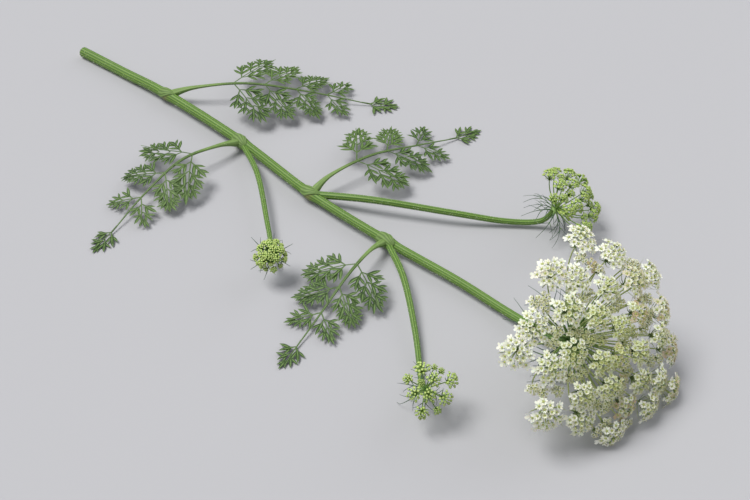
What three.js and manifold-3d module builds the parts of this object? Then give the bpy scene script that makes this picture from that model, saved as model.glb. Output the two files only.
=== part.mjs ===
// A single cut stem of Queen Anne's lace (Daucus carota), lying on a table.
// Millimetres, +Z up. The table is the plane z = 0. The stem runs along +X, from its cut end to its bloom.
// The bloom is an umbel: rays fan out from the top of its stalk, and each ends in an umbellet, a small head
// of florets. A whorl of thread-like bracts, the involucre, stands under each umbel. Three side shoots carry
// younger umbels that are still in bud, and leaves cut to the rib grow at the stem's nodes.

import * as THREE from "three";
import { mergeVertices } from "three/addons/utils/BufferGeometryUtils.js";
import Module from "manifold-3d";

const wasm = await Module();
wasm.setup();

// Driving dimensions, in mm.
const CUT_RADIUS = 3.2; // the stem's radius at its cut end
const TOP_RADIUS = 2.1; // and where it meets the bloom
const NODE_RADIUS = 3.6; // the swellings where leaves and shoots grow
const NODE_STRETCH = 1.5; // how much longer than wide a swelling is
const GAP = 0.3; // left between pieces that touch
const PRESSED = 0.75; // how far the lowest florets are pressed down towards the table
const CLEARED = 0.8; // the lowest that a bract's middle comes over the table
const WHORL_THICKNESS = 1.8; // the disc that the bracts grow from
const BLADE_THICKNESS = 0.7; // leaf blades
const RIB_HALF = 0.6; // half the width of a blade's ribs
const LONG_PINNA = 30; // a pinna longer than this has one more pair of lobes
const DROOP = 0.006; // how fast a blade falls away from its rachis, per mm, times the square of the distance
const PETIOLE_SHARE = 0.27; // the share of a leaf's length that is its stalk
const GOLDEN_ANGLE = Math.PI * (3 - Math.sqrt(5)); // each umbellet is turned by this much from the last

// The stem's nodes, from the cut end to the bloom.
const CUT_END = [-215, -5, 3.0];
const NODE_1 = [-138, 2, 4.8];
const NODE_2 = [-72, 3, 4.8];
const NODE_3 = [-10, -1, 5.0];
const NODE_4 = [46, 1, 4.8];

// The umbels. heading and rise give the way that each one faces, in degrees: round from +X, and up from the
// table.
const BLOOM = {
  name: "bloom",
  heading: -12,
  rise: 42,
  count: 31,
  spread: 49, // from the axis to the outermost umbellets
  height: 35, // from the base to the middle of the canopy
  sag: 13, // how much lower the canopy's edge is
  lean: 0.62, // how far the outermost umbellets tip outwards, in radians
  innerSize: 6.8,
  outerSize: 9.2,
  ruffle: 1.8, // how uneven the canopy is
  rayRadius: 0.48,
  baseRadius: 4.3,
  seed: 11,
};
const GREEN_UMBEL = {
  name: "green_umbel",
  heading: 36,
  rise: 52,
  count: 12,
  spread: 21,
  height: 17,
  sag: 5,
  lean: 0.7,
  innerSize: 4.0,
  outerSize: 5.0,
  ruffle: 0.7,
  rayRadius: 0.45,
  baseRadius: 2.6,
  seed: 23,
};
const SMALL_UMBEL = {
  name: "small_umbel",
  heading: -38,
  rise: 56,
  count: 7,
  spread: 12.5,
  height: 12,
  sag: 3.5,
  lean: 0.6,
  innerSize: 3.6,
  outerSize: 4.2,
  ruffle: 0.5,
  rayRadius: 0.42,
  baseRadius: 2.2,
  seed: 37,
};
const BUD_UMBEL = {
  name: "bud_umbel",
  heading: -50,
  rise: 60,
  count: 8,
  spread: 6.8,
  height: 8.5,
  sag: 4,
  lean: 0.8,
  innerSize: 3.0,
  outerSize: 3.0,
  ruffle: 0.2,
  rayRadius: 0, // too dense for its rays to show
  baseRadius: 8,
  seed: 41,
};

// The stalks that carry the umbels. Each path gives points in plan, measured from the stalk's node, and
// their heights over the table. Past its last point a stalk runs straight for its neck, as its umbel faces.
const MAIN_STALK = {
  umbel: BLOOM,
  points: [
    CUT_END,
    [-178, -1, 3.05],
    NODE_1,
    NODE_2,
    NODE_3,
    NODE_4,
    [92, 5, 4.2],
    [125, 5.5, 4.6],
    [153, 3.4, 10.4],
  ],
  neck: 14,
  rootRadius: CUT_RADIUS,
  tipRadius: TOP_RADIUS,
  sides: 8,
  steps: 15,
};
const SHOOTS = [
  {
    umbel: GREEN_UMBEL,
    node: NODE_3,
    path: [[32, 17, 9.2], [70, 40, 7.6], [94, 58, 3.6], [109, 70, 4.6]],
    neck: 11,
    rootRadius: 2.0,
    tipRadius: 1.4,
    sides: 5,
    steps: 7,
  },
  {
    umbel: SMALL_UMBEL,
    node: NODE_4,
    path: [[26, -16, 8.2], [52, -37, 5.6], [70, -54, 2.9], [77, -61, 4.4]],
    neck: 9,
    rootRadius: 1.8,
    tipRadius: 1.2,
    sides: 5,
    steps: 7,
  },
  {
    umbel: BUD_UMBEL,
    node: NODE_2,
    path: [[30, -15, 8.4], [62, -38, 7.2], [82, -53, 4.6]],
    neck: 10,
    rootRadius: 1.6,
    tipRadius: 1.1,
    sides: 5,
    steps: 7,
  },
];

// The whorls of bracts under the umbels. reach and fall are how far a bract goes out and back.
const WHORLS = [
  {
    name: "bloom_involucre",
    umbel: BLOOM,
    count: 8,
    reach: 27,
    fall: 17,
    lobePairs: 1,
    radius: 3.0,
    seed: 5,
  },
  {
    name: "green_involucre",
    umbel: GREEN_UMBEL,
    count: 7,
    reach: 17,
    fall: 11,
    lobePairs: 1,
    radius: 2.2,
    seed: 6,
  },
  {
    name: "small_involucre",
    umbel: SMALL_UMBEL,
    count: 6,
    reach: 13,
    fall: 14,
    lobePairs: 0,
    radius: 1.9,
    seed: 7,
  },
  {
    name: "bud_involucre",
    umbel: BUD_UMBEL,
    count: 6,
    reach: 13,
    fall: -2,
    lobePairs: 0,
    radius: 1.6,
    seed: 8,
  },
];

// The leaves: each rachis arches up from its node and comes down to lie on the table.
const LEAVES = [
  {
    name: "leaf_1",
    node: NODE_1,
    path: [[14, 13, 11], [38, 36, 13], [70, 62, 7], [98, 82, 1]],
    pairs: 4,
    pinna: 37,
    sheath: 2.6,
  },
  {
    name: "leaf_2",
    node: NODE_2,
    path: [[-3, -16, 10.5], [-8, -40, 12], [-7, -70, 6], [-2, -97, 1]],
    pairs: 3,
    pinna: 33,
    sheath: 2.5,
  },
  {
    name: "leaf_3",
    node: NODE_3,
    path: [[2, 15, 11], [9, 42, 12], [19, 71, 6], [29, 96, 1]],
    pairs: 3,
    pinna: 34,
    sheath: 2.4,
  },
  {
    name: "leaf_4",
    node: NODE_4,
    path: [[1, -14, 10], [4, -35, 10], [8, -60, 4.4], [12, -82, 1]],
    pairs: 3,
    pinna: 30,
    sheath: 2.2,
  },
];

const MATERIALS = {
  stem: new THREE.MeshStandardMaterial({ color: 0x6f8a45, roughness: 0.6, metalness: 0 }),
  leaf: new THREE.MeshStandardMaterial({ color: 0x335225, roughness: 0.65, metalness: 0 }),
  bract: new THREE.MeshStandardMaterial({ color: 0x4c6b46, roughness: 0.65, metalness: 0 }),
  bloom: new THREE.MeshStandardMaterial({ color: 0xe6ead0, roughness: 0.7, metalness: 0 }),
  bud: new THREE.MeshStandardMaterial({ color: 0x9dbb5e, roughness: 0.65, metalness: 0 }),
};

// The Park-Miller generator: numbers from 0 to 1, the same ones on every run.
function draws(seed) {
  let state = seed;
  return () => {
    state = (state * 48271) % 2147483647;
    return state / 2147483647;
  };
}

const mix = THREE.MathUtils.lerp;
const range = (count) => Array.from({ length: count }, (_, i) => i);
const vector = (point) => new THREE.Vector3(...point);

// A turn that brings one direction to another.
const turnTo = (from, to) => new THREE.Quaternion().setFromUnitVectors(from, to);
const Y = new THREE.Vector3(0, 1, 0);
const Z = new THREE.Vector3(0, 0, 1);

// A height that never goes under the table: far above, it stays as it is, and near the table it levels off.
const TABLE_SOFTNESS = 1;
const softFloor = (height) => (height + Math.hypot(height, TABLE_SOFTNESS)) / 2;

// A closed geometry as a solid.
function solid(geometry) {
  geometry.deleteAttribute("normal");
  geometry.deleteAttribute("uv");
  const merged = mergeVertices(geometry, 1e-4);
  return new wasm.Manifold(
    new wasm.Mesh({
      numProp: 3,
      vertProperties: merged.attributes.position.array,
      triVerts: new Uint32Array(merged.index.array),
    }),
  );
}

// Many solids joined in one, two by two.
function join(solids) {
  let left = solids;
  while (left.length > 1) {
    left = range(Math.ceil(left.length / 2)).map((i) =>
      2 * i + 1 < left.length ? left[2 * i].add(left[2 * i + 1]) : left[2 * i],
    );
  }
  return left[0];
}

// The largest body of a solid, without the scraps that a cut leaves.
function largestBody(whole) {
  return whole.decompose().reduce((a, b) => (a.volume() > b.volume() ? a : b));
}

// A solid with what is under the table cut away, so that it rests on small flat spots.
function flattenedByTable(whole) {
  const table = new THREE.BoxGeometry(800, 500, 20).translate(0, 0, -10);
  return largestBody(whole.subtract(solid(table)));
}

// The solid as a named mesh.
function meshOf(whole, name, material) {
  const made = whole.getMesh();
  const positions = new Float32Array(made.numVert * 3);
  range(made.numVert).forEach((i) => {
    positions.set(made.vertProperties.subarray(i * made.numProp, i * made.numProp + 3), i * 3);
  });
  const geometry = new THREE.BufferGeometry();
  geometry.setAttribute("position", new THREE.BufferAttribute(positions, 3));
  geometry.setIndex(new THREE.BufferAttribute(new Uint32Array(made.triVerts), 1));
  geometry.computeVertexNormals();
  const mesh = new THREE.Mesh(geometry, material);
  mesh.name = name;
  return mesh;
}

// Points given from a node in plan, and over the table in height, as a list that starts at the node.
function pathFrom(node, path) {
  return [node, ...path.map(([x, y, z]) => [node[0] + x, node[1] + y, z])];
}

// A smooth curve through points.
function curveThrough(points) {
  return new THREE.CatmullRomCurve3(points, false, "catmullrom", 0.5);
}

// A round limb: a cylinder whose rings are carried along a curve. radiusAt gives a ring's radius from its
// share of the way.
function limb(curve, radiusAt, sides, steps) {
  const geometry = new THREE.CylinderGeometry(1, 1, 1, sides, steps);
  const frames = curve.computeFrenetFrames(steps);
  const position = geometry.attributes.position;
  for (let i = 0; i < position.count; i++) {
    const ring = Math.round((position.getY(i) + 0.5) * steps);
    const radius = radiusAt(ring / steps);
    const point = curve
      .getPointAt(ring / steps)
      .addScaledVector(frames.normals[ring], radius * position.getX(i))
      .addScaledVector(frames.binormals[ring], -radius * position.getZ(i));
    position.setXYZ(i, point.x, point.y, point.z);
  }
  return solid(geometry);
}

// A three-sided spike that tapers from its root to a point.
function spike(root, tip, radius) {
  const length = root.distanceTo(tip);
  const geometry = new THREE.ConeGeometry(radius, length, 3, 1).translate(0, length / 2, 0);
  const way = tip.clone().sub(root).divideScalar(length);
  return solid(geometry.applyQuaternion(turnTo(Y, way)).translate(...root));
}

// The way that an umbel faces, with the two directions across it: sideways, and down its face.
function facing(umbel) {
  const heading = THREE.MathUtils.degToRad(umbel.heading);
  const rise = THREE.MathUtils.degToRad(umbel.rise);
  const axis = vector([
    Math.cos(rise) * Math.cos(heading),
    Math.cos(rise) * Math.sin(heading),
    Math.sin(rise),
  ]);
  const side = vector([-Math.sin(heading), Math.cos(heading), 0]);
  const down = new THREE.Vector3().crossVectors(side, axis);
  return { axis, side, down };
}

// A point given by its distance from an axis, its turn round it and its height along it.
function pointOn({ axis, side, down }, origin, out, turn, along) {
  return origin
    .clone()
    .addScaledVector(down, out * Math.cos(turn))
    .addScaledVector(side, out * Math.sin(turn))
    .addScaledVector(axis, along);
}

// The curve of a stalk, with its straight neck.
function stalkCurve(stalk) {
  const points = (stalk.points ?? pathFrom(stalk.node, stalk.path)).map(vector);
  const last = points[points.length - 1];
  return curveThrough([...points, last.clone().addScaledVector(facing(stalk.umbel).axis, stalk.neck)]);
}

// An umbel's base: past the end of its stalk, with room for the whorl of bracts between.
function baseOf(umbel) {
  const stalk = [MAIN_STALK, ...SHOOTS].find((one) => one.umbel === umbel);
  return stalkCurve(stalk).getPoint(1).addScaledVector(facing(umbel).axis, 2 * GAP + WHORL_THICKNESS);
}

// Where each umbellet of an umbel is, which way it faces and how large it is. They follow a golden-angle
// spiral that is a little closer in the middle. The table lifts those that would reach under it.
function umbelletsOf(umbel) {
  const frame = facing(umbel);
  const base = baseOf(umbel);
  const draw = draws(umbel.seed);
  return range(umbel.count).map((i) => {
    const share = Math.pow((i + 0.5) / umbel.count, 0.56);
    const turn = i * GOLDEN_ANGLE + 0.3 * (draw() - 0.5);
    const out = umbel.spread * share * (1 + 0.08 * (draw() - 0.5));
    const along = umbel.height - umbel.sag * share * share + 2 * umbel.ruffle * (draw() - 0.5);
    const size = mix(umbel.innerSize, umbel.outerSize, share) * (1 + 0.14 * (draw() - 0.5));
    const centre = pointOn(frame, base, out, turn, along);
    const lean = umbel.lean * share;
    const outwards = pointOn(frame, new THREE.Vector3(), 1, turn, 0);
    const axis = frame.axis.clone().multiplyScalar(Math.cos(lean));
    axis.addScaledVector(outwards, Math.sin(lean));
    const dip = size * Math.sqrt(1 - axis.z * axis.z);
    centre.z = dip + softFloor(centre.z - dip) - PRESSED;
    return { share, turn, centre, axis, size };
  });
}

// A floret of an umbellet: a five-petalled star on a stalk that tapers to a point. A ten-sided cylinder with
// three rings gives it: the star's rim, with every other point drawn in, a three-sided neck, and the tip.
function floret(centre, root, radius) {
  const way = centre.clone().sub(root);
  const stalkLength = way.length() - 0.08; // it ends inside the knob that carries it
  const heights = [-stalkLength, -0.35 * radius, 0];
  const neckRadius = 0.07;
  const notchRadius = 0.58 * radius; // between two petals
  const sides = 10;
  const neckSides = 3;
  const geometry = new THREE.CylinderGeometry(1, 1, 1, sides, 2);
  const position = geometry.attributes.position;
  for (let i = 0; i < position.count; i++) {
    const level = Math.round(2 * position.getY(i)) + 1; // 2 at the rim, 1 at the neck, 0 at the stalk's end
    const onAxis = Math.hypot(position.getX(i), position.getZ(i)) < 0.5;
    const turn = Math.atan2(position.getX(i), position.getZ(i)) / (2 * Math.PI);
    const point = (Math.round(turn * sides) + sides) % sides;
    const neckPoint = Math.floor((point * neckSides) / sides);
    const angle = 2 * Math.PI * (level === 2 ? point / sides : neckPoint / neckSides);
    const out = onAxis ? 0 : [0, neckRadius, point % 2 ? notchRadius : radius][level];
    position.setXYZ(i, out * Math.cos(angle), out * Math.sin(angle), heights[level]);
  }
  return solid(geometry.applyQuaternion(turnTo(Z, way.normalize())).translate(...centre));
}

// An open umbellet of unit radius, facing +Z: florets on stalks that spread from a knob at the ray's end.
function openUmbellet(around) {
  const root = new THREE.Vector3(0, 0, -0.8);
  const core = solid(new THREE.OctahedronGeometry(0.24).translate(...root));
  const out = 0.62; // from the umbellet's axis to the middle of its outer florets
  const rim = range(around).map((i) => {
    const turn = (2 * Math.PI * i) / around;
    const centre = vector([out * Math.cos(turn), out * Math.sin(turn), 0]);
    return floret(centre, root, out * Math.sin(Math.PI / around));
  });
  return join([core, floret(vector([0, 0, 0.22]), root, 0.36), ...rim]);
}

// A closed umbellet of unit radius, facing +Z: a tight head of buds, or a single bud where around is 0.
function closedUmbellet(around) {
  const rim = range(around).map((i) => {
    const turn = (2 * Math.PI * i) / around;
    const bud = new THREE.OctahedronGeometry(0.5).rotateZ(turn);
    return solid(bud.translate(0.56 * Math.cos(turn), 0.56 * Math.sin(turn), -0.1));
  });
  const top = new THREE.OctahedronGeometry(around ? 0.5 : 1).translate(0, 0, around ? 0.25 : 0);
  return join([solid(top), ...rim]);
}

// Turns and scales a unit umbellet to its place.
function placed(unit, { centre, axis, turn, size }) {
  const spun = new THREE.Quaternion().setFromAxisAngle(Z, turn);
  const matrix = new THREE.Matrix4().compose(
    centre,
    turnTo(Z, axis).multiply(spun),
    new THREE.Vector3().setScalar(size),
  );
  return unit.transform(matrix.elements);
}

// The ray that carries an umbellet: it leaves the base outwards and comes up under the umbellet.
function ray(umbel, { share, turn, centre, axis, size }, stalkShare) {
  const rooted = umbel.baseRadius;
  const start = pointOn(facing(umbel), baseOf(umbel), 0.3 * rooted * share, turn, 0.2 * rooted);
  const end = centre.clone().addScaledVector(axis, -stalkShare * size);
  const bend = end.clone().addScaledVector(axis, -0.4 * start.distanceTo(end));
  const curve = new THREE.QuadraticBezierCurve3(start, bend, end);
  return limb(curve, () => umbel.rayRadius, 3, 2);
}

// A whole umbel: a domed base that the rays stand out of, and their umbellets, in one solid.
function umbelSolid(umbel) {
  const open = umbel === BLOOM;
  const dense = umbel.rayRadius === 0;
  const outer = open ? openUmbellet(5) : closedUmbellet(dense ? 0 : 3);
  const inner = open ? openUmbellet(4) : outer;
  const profile = [[0, 0], [0.2, 0], [1, 0.45], [0.75, 0.85], [0, 1]].map(([out, up]) =>
    new THREE.Vector2(out, up).multiplyScalar(umbel.baseRadius),
  );
  const base = new THREE.LatheGeometry(profile, 8)
    .applyQuaternion(turnTo(Y, facing(umbel).axis))
    .translate(...baseOf(umbel));
  const umbellets = umbelletsOf(umbel);
  const rays = dense ? [] : umbellets.map((umbellet) => ray(umbel, umbellet, open ? 0.72 : 0));
  const heads = umbellets.map((umbellet) => placed(umbellet.share > 0.6 ? outer : inner, umbellet));
  return flattenedByTable(join([solid(base), ...rays, ...heads]));
}

// A whorl of bracts: threads that spread from a disc and fall back, each with side threads.
function whorlSolid(whorl) {
  const frame = facing(whorl.umbel);
  const draw = draws(whorl.seed);
  const top = baseOf(whorl.umbel).addScaledVector(frame.axis, -GAP);
  const disc = new THREE.CylinderGeometry(whorl.radius, 0.85 * whorl.radius, WHORL_THICKNESS, 8)
    .translate(0, -WHORL_THICKNESS / 2, 0)
    .applyQuaternion(turnTo(Y, frame.axis))
    .translate(...top);
  const at = (out, turn, along) => {
    const point = pointOn(frame, top, out, turn, along - WHORL_THICKNESS / 2);
    point.z = softFloor(point.z - CLEARED) + CLEARED;
    return point;
  };
  const bracts = range(whorl.count).flatMap((i) => {
    const turn = (2 * Math.PI * (i + 0.3 * (draw() - 0.5))) / whorl.count;
    const reach = whorl.reach * (1 + 0.25 * (draw() - 0.5));
    const rib = curveThrough([
      at(0.5 * whorl.radius, turn, 0),
      at(0.4 * reach, turn, -0.08 * whorl.fall),
      at(0.78 * reach, turn, -0.42 * whorl.fall),
      at(reach, turn, -whorl.fall),
    ]);
    const lobes = range(2 * whorl.lobePairs).map((lobe) => {
      const way = lobe % 2 ? 1 : -1;
      const share = 0.4 + 0.28 * Math.floor(lobe / 2);
      const tip = at(reach * (share + 0.42), turn + way * 0.34, -whorl.fall * (share + 0.12));
      return spike(rib.getPointAt(share), tip, 0.38);
    });
    return [limb(rib, (along) => mix(0.65, 0.3, along), 3, 3), ...lobes];
  });
  return flattenedByTable(join([solid(disc), ...bracts]));
}

// Where the pinnae of a leaf grow: pairs that get shorter towards the one at the tip. swing is how far, in
// radians, a pinna turns out from the rachis.
function pinnaeOf(leaf) {
  return range(leaf.pairs + 1).map((pair) => {
    const last = pair === leaf.pairs;
    return {
      last,
      share: last ? 0.95 : 0.33 + (0.6 * pair) / leaf.pairs,
      length: leaf.pinna * (last ? 0.6 : 1 - (0.62 * pair) / leaf.pairs),
      swing: last ? 0 : 0.95 - 0.05 * pair,
    };
  });
}

// One edge of a pinna, from its base towards its tip, with lobes cut to the rib that lean forwards. Each
// point is a distance along the rib and a distance from it.
function pinnaEdge(length) {
  const lobes = length > LONG_PINNA ? 3 : 2;
  return range(lobes).flatMap((k) => {
    const root = length * (0.16 + (0.6 * k) / lobes);
    const reach = length * (0.28 - (0.1 * k) / lobes);
    return [
      [root, RIB_HALF],
      [root + 0.25 * reach, RIB_HALF + 0.55 * reach],
      [root + 1.05 * reach, RIB_HALF + 0.8 * reach],
      [root + 0.13 * length, RIB_HALF],
    ];
  });
}

// The blade's outline in plan: up one side of the rachis and round its pinnae, and down the other side.
function bladeOutline(leaf, curve) {
  const plan = ({ x, y }) => new THREE.Vector2(x, y);
  const frameAt = (share, turn) => {
    const forward = plan(curve.getTangentAt(share)).normalize();
    forward.rotateAround(new THREE.Vector2(), turn);
    const left = new THREE.Vector2(-forward.y, forward.x);
    const origin = plan(curve.getPointAt(share));
    return (along, across) => origin.clone().addScaledVector(forward, along).addScaledVector(left, across);
  };
  const sideOf = (way) => {
    const start = frameAt(PETIOLE_SHARE, 0)(0, way * RIB_HALF);
    const pinnae = pinnaeOf(leaf).flatMap(({ last, share, length, swing }) => {
      const at = frameAt(share, way * swing);
      const edge = pinnaEdge(length);
      const lower = [[0.4, RIB_HALF], ...edge].map(([a, b]) => at(a, way * b));
      const upper = [[1.2, RIB_HALF], ...edge].map(([a, b]) => at(a, -way * b)).reverse();
      return last ? lower : [...lower, at(length, 0), ...upper];
    });
    return [start, ...pinnae];
  };
  const { share, length } = pinnaeOf(leaf)[leaf.pairs];
  return [...sideOf(1), frameAt(share, 0)(length, 0), ...sideOf(-1).reverse()];
}

// The height of the blade's underside over the table at a place in plan: the rachis's height, less a droop
// that grows with the distance from it.
function bladeHeight(samples, x, y) {
  const squared = (p) => (p.x - x) ** 2 + (p.y - y) ** 2;
  const nearest = samples.reduce((best, p) => (squared(p) < squared(best) ? p : best));
  return softFloor(nearest.z - DROOP * squared(nearest) - BLADE_THICKNESS / 2);
}

// The blade: a thin sheet in one outline, draped over its rachis and down to the table.
function bladeSolid(leaf, curve) {
  const shape = new THREE.Shape(bladeOutline(leaf, curve));
  const blade = new THREE.ExtrudeGeometry(shape, { depth: BLADE_THICKNESS, bevelEnabled: false, steps: 1 });
  const samples = curve.getSpacedPoints(80);
  const position = blade.attributes.position;
  for (let i = 0; i < position.count; i++) {
    position.setZ(i, position.getZ(i) + bladeHeight(samples, position.getX(i), position.getY(i)));
  }
  return solid(blade);
}

// A leaf: its petiole, which flares at its base to clasp the stem, and its blade.
function leafSolid(leaf, stemClearance) {
  const curve = curveThrough(pathFrom(leaf.node, leaf.path).map(vector));
  const petioleEnd = PETIOLE_SHARE + 0.04; // the blade's rib starts inside the petiole
  const petioleCurve = curveThrough(range(6).map((i) => curve.getPointAt((petioleEnd * i) / 5)));
  const petiole = limb(petioleCurve, (along) => 1 + leaf.sheath * (1 - along) ** 3, 5, 6);
  return largestBody(petiole.add(bladeSolid(leaf, curve)).subtract(stemClearance));
}

// The stem: the main stalk with its side shoots and its swollen nodes, all of it larger by a clearance.
function stemSolid(clearance) {
  const stalks = [MAIN_STALK, ...SHOOTS].map((stalk) => {
    const radiusAt = (along) => mix(stalk.rootRadius, stalk.tipRadius, along) + clearance;
    return limb(stalkCurve(stalk), radiusAt, stalk.sides, stalk.steps);
  });
  const swellings = [NODE_1, NODE_2, NODE_3, NODE_4].map((node) => {
    const swelling = new THREE.SphereGeometry(NODE_RADIUS + clearance, 8, 4).scale(NODE_STRETCH, 1, 1);
    return solid(swelling.translate(...node));
  });
  return join([...stalks, ...swellings]);
}

const flower = new THREE.Group();
flower.name = "queen_annes_lace";
flower.add(meshOf(flattenedByTable(stemSolid(0)), "stem", MATERIALS.stem));

const stemClearance = stemSolid(GAP);
LEAVES.forEach((leaf) => {
  flower.add(meshOf(leafSolid(leaf, stemClearance), leaf.name, MATERIALS.leaf));
});
flower.add(meshOf(umbelSolid(BLOOM), BLOOM.name, MATERIALS.bloom));
[GREEN_UMBEL, SMALL_UMBEL, BUD_UMBEL].forEach((umbel) => {
  flower.add(meshOf(umbelSolid(umbel), umbel.name, MATERIALS.bud));
});
WHORLS.forEach((whorl) => flower.add(meshOf(whorlSolid(whorl), whorl.name, MATERIALS.bract)));

export default flower;
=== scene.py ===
"""Queen Anne's lace: a cut stem of Daucus carota with its umbels, bracts and leaves, laid on a table.

Every length is in millimetres until add_piece() puts it into a mesh, in metres. The stem runs along +X, and
the table is the plane z = 0. Stalks, umbels, whorls and leaves follow the same driving dimensions as the
frame's nodes, so that each fine piece keeps the form of the node that it replaces.
"""

import math

import bpy
import numpy as np
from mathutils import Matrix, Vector


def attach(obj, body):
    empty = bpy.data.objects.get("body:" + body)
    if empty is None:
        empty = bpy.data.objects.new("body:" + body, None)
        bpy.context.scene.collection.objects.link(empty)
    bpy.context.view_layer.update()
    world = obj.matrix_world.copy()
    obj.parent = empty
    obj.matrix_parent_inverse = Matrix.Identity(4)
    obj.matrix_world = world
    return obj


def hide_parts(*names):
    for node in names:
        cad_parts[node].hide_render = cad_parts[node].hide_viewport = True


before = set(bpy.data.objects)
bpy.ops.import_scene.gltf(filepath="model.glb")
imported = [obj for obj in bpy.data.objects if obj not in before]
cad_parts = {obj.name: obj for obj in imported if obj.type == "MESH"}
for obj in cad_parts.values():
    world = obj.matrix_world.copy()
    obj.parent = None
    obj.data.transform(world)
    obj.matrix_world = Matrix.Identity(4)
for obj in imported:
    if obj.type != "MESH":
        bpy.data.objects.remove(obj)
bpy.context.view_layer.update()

bl_info = {
    "name": "Queen Anne's Lace",
    "version": (1, 0, 0),
    "blender": (4, 5, 0),
    "location": "3D View > Sidebar > Flower",
    "description": "Adds a cut stem of Queen Anne's lace with its umbels, bracts and leaves",
    "category": "Add Mesh",
}

MM = 0.001
TURN = 2 * math.pi
GOLDEN_ANGLE = math.pi * (3 - math.sqrt(5))
UP = (0.0, 0.0, 1.0)
PETALS = 5  # a floret has five petals and stamens, and its bud has five lobes

# The stem, in mm.
CUT_RADIUS = 3.2
TOP_RADIUS = 2.1
NODE_RADIUS = 3.6
NODE_REACH = 4.5  # how far along the stem a swelling reaches
GAP = 0.3  # between neighbouring parts
CUT_END = (-215, -5, 3.0)
NODES = ((-138, 2, 4.8), (-72, 3, 4.8), (-10, -1, 5.0), (46, 1, 4.8))
SIDES_PER_RIB = 4
# The cut end, from its rim to its pale pith: shares of the stem's radius, with heights.
CUT_PROFILE = ((0.995, 0.02), (0.97, 0.12), (0.86, 0.14), (0.8, 0.08), (0.4, 0.03))
CUT_DEPTH = 2.0  # the tube's end is hollow by this, to leave room for the cut face
HAIR_RADIUS = 0.07
HAIRLESS_REACH = 9  # no bristles grow nearer to a node than this
LOWEST_HAIR = 0.9  # nor on the underside, nearer to the table than this

# How parts lie on the table, in mm.
PRESSED = 0.75  # how far an umbellet's rim settles
CLEARED = 0.8  # how high bracts stay
DROOP = 0.006  # a blade falls by this times the squared distance from its rachis

# Every piece has random draws of its own, from these seeds on.
HAIR_SEED = 3
BLOOM_SEED = 17
LEAF_SEED = 100
BUD_SEED = 200
BRACT_SEED = 300

# How the frame's umbels and whorls are laid out.
SPIRAL_POWER = 0.56  # the umbellets of a golden-angle spiral are a little closer in the middle
TURN_CHANCE = 0.3  # the range of the chance in an umbellet's turn, in radians, and in a bract's place in turn
OUT_CHANCE = 0.08  # in how far out an umbellet is, as a share of that
SIZE_CHANCE = 0.14  # in its size, as a share of that
REACH_CHANCE = 0.25  # and in a bract's reach, as a share of that
GRID_RINGS, GRID_TURNS = 30, 73  # the spots where gaps between umbellets are looked for

# An umbellet, in shares of its size.
STALKS_MEET = 0.72  # how deep under its middle the florets' stalks meet
BRACTEOLES_GROW = 0.74  # and how deep its bracteoles grow
FLORET_LEAN = 0.75  # how far the outermost florets lean outwards, in radians
# The distance between neighbours of n spots spread evenly over a disc, times the root of n, over its radius.
PACKING = 1.905

# A floret's parts, in mm.
THREAD_RADIUS = 0.05  # of a stamen
ANTHER = np.diag((0.2, 0.16, 0.14))  # its half lengths

WHORL_THICKNESS = 1.8
LEAF_SAMPLES = 81  # the points along a leaf's rachis
PETIOLE_SHARE = 0.27  # of a leaf's length
PETIOLE_RIBS = 7
PETIOLE_RADIUS = 0.95  # where it meets the blade
RACHIS_NARROWS = 0.62  # and how much of that is gone at the leaf's tip
LOBE_LENGTH = 8.0  # a leaf's lobes are about this long ...
USUAL_LOBE = 7.0  # ... where their branches give them this length ...
LOBE_SPREAD = 0.6  # ... and other lengths are drawn together by this power
LOBE_SLENDER = 0.14  # half a lobe's width, as a share of its length
CRISP = math.radians(55)  # faces that meet at more than this keep a crisp edge

# The umbels: heading and rise in degrees, lean in radians, the rest in mm. Small umbellets fill the gaps:
# small is their least and greatest size, deeper how much deeper they sit, within how far out they go as a
# share of the spread, and infill how many there are. The younger umbels have a dome that is drawn at a share
# of the base's size, and florets that have opened by a share.
BLOOM = dict(
    name="bloom", heading=-12, rise=42, count=31, spread=49, height=35, sag=13, lean=0.62,
    inner=6.8, outer=9.2, ruffle=1.8, ray=0.38, base=4.3, seed=11,
    small=(3.4, 6.0), deeper=2.0, within=0.86,
)
GREEN_UMBEL = dict(
    name="green_umbel", heading=36, rise=52, count=12, spread=21, height=17, sag=5, lean=0.7,
    inner=4.0, outer=5.0, ruffle=0.7, ray=0.3, base=2.6, seed=23,
    small=(2.2, 3.2), deeper=0.8, within=0.85, infill=9, dome=0.78, opened=1.0,
)
SMALL_UMBEL = dict(
    name="small_umbel", heading=-38, rise=56, count=7, spread=12.5, height=12, sag=3.5, lean=0.6,
    inner=3.6, outer=4.2, ruffle=0.5, ray=0.28, base=2.2, seed=37,
    small=(1.98, 2.88), deeper=0.6, within=0.85, infill=5, dome=0.78, opened=0.8,
)
BUD_UMBEL = dict(
    name="bud_umbel", heading=-50, rise=60, count=8, spread=6.8, height=8.5, sag=4, lean=0.8,
    inner=3.0, outer=3.0, ruffle=0.2, ray=0.26, base=8, seed=41,
    small=(1.65, 2.4), deeper=0.0, within=1.15, infill=14, dome=0.6, opened=0.0,
)
YOUNGER_UMBELS = (GREEN_UMBEL, SMALL_UMBEL, BUD_UMBEL)
WARM_UMBELLETS = [6, 13, 19, 24]  # these umbellets of the bloom are sure to have a buff tint ...
WARM_BY = 0.7  # ... and this much of it

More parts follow.
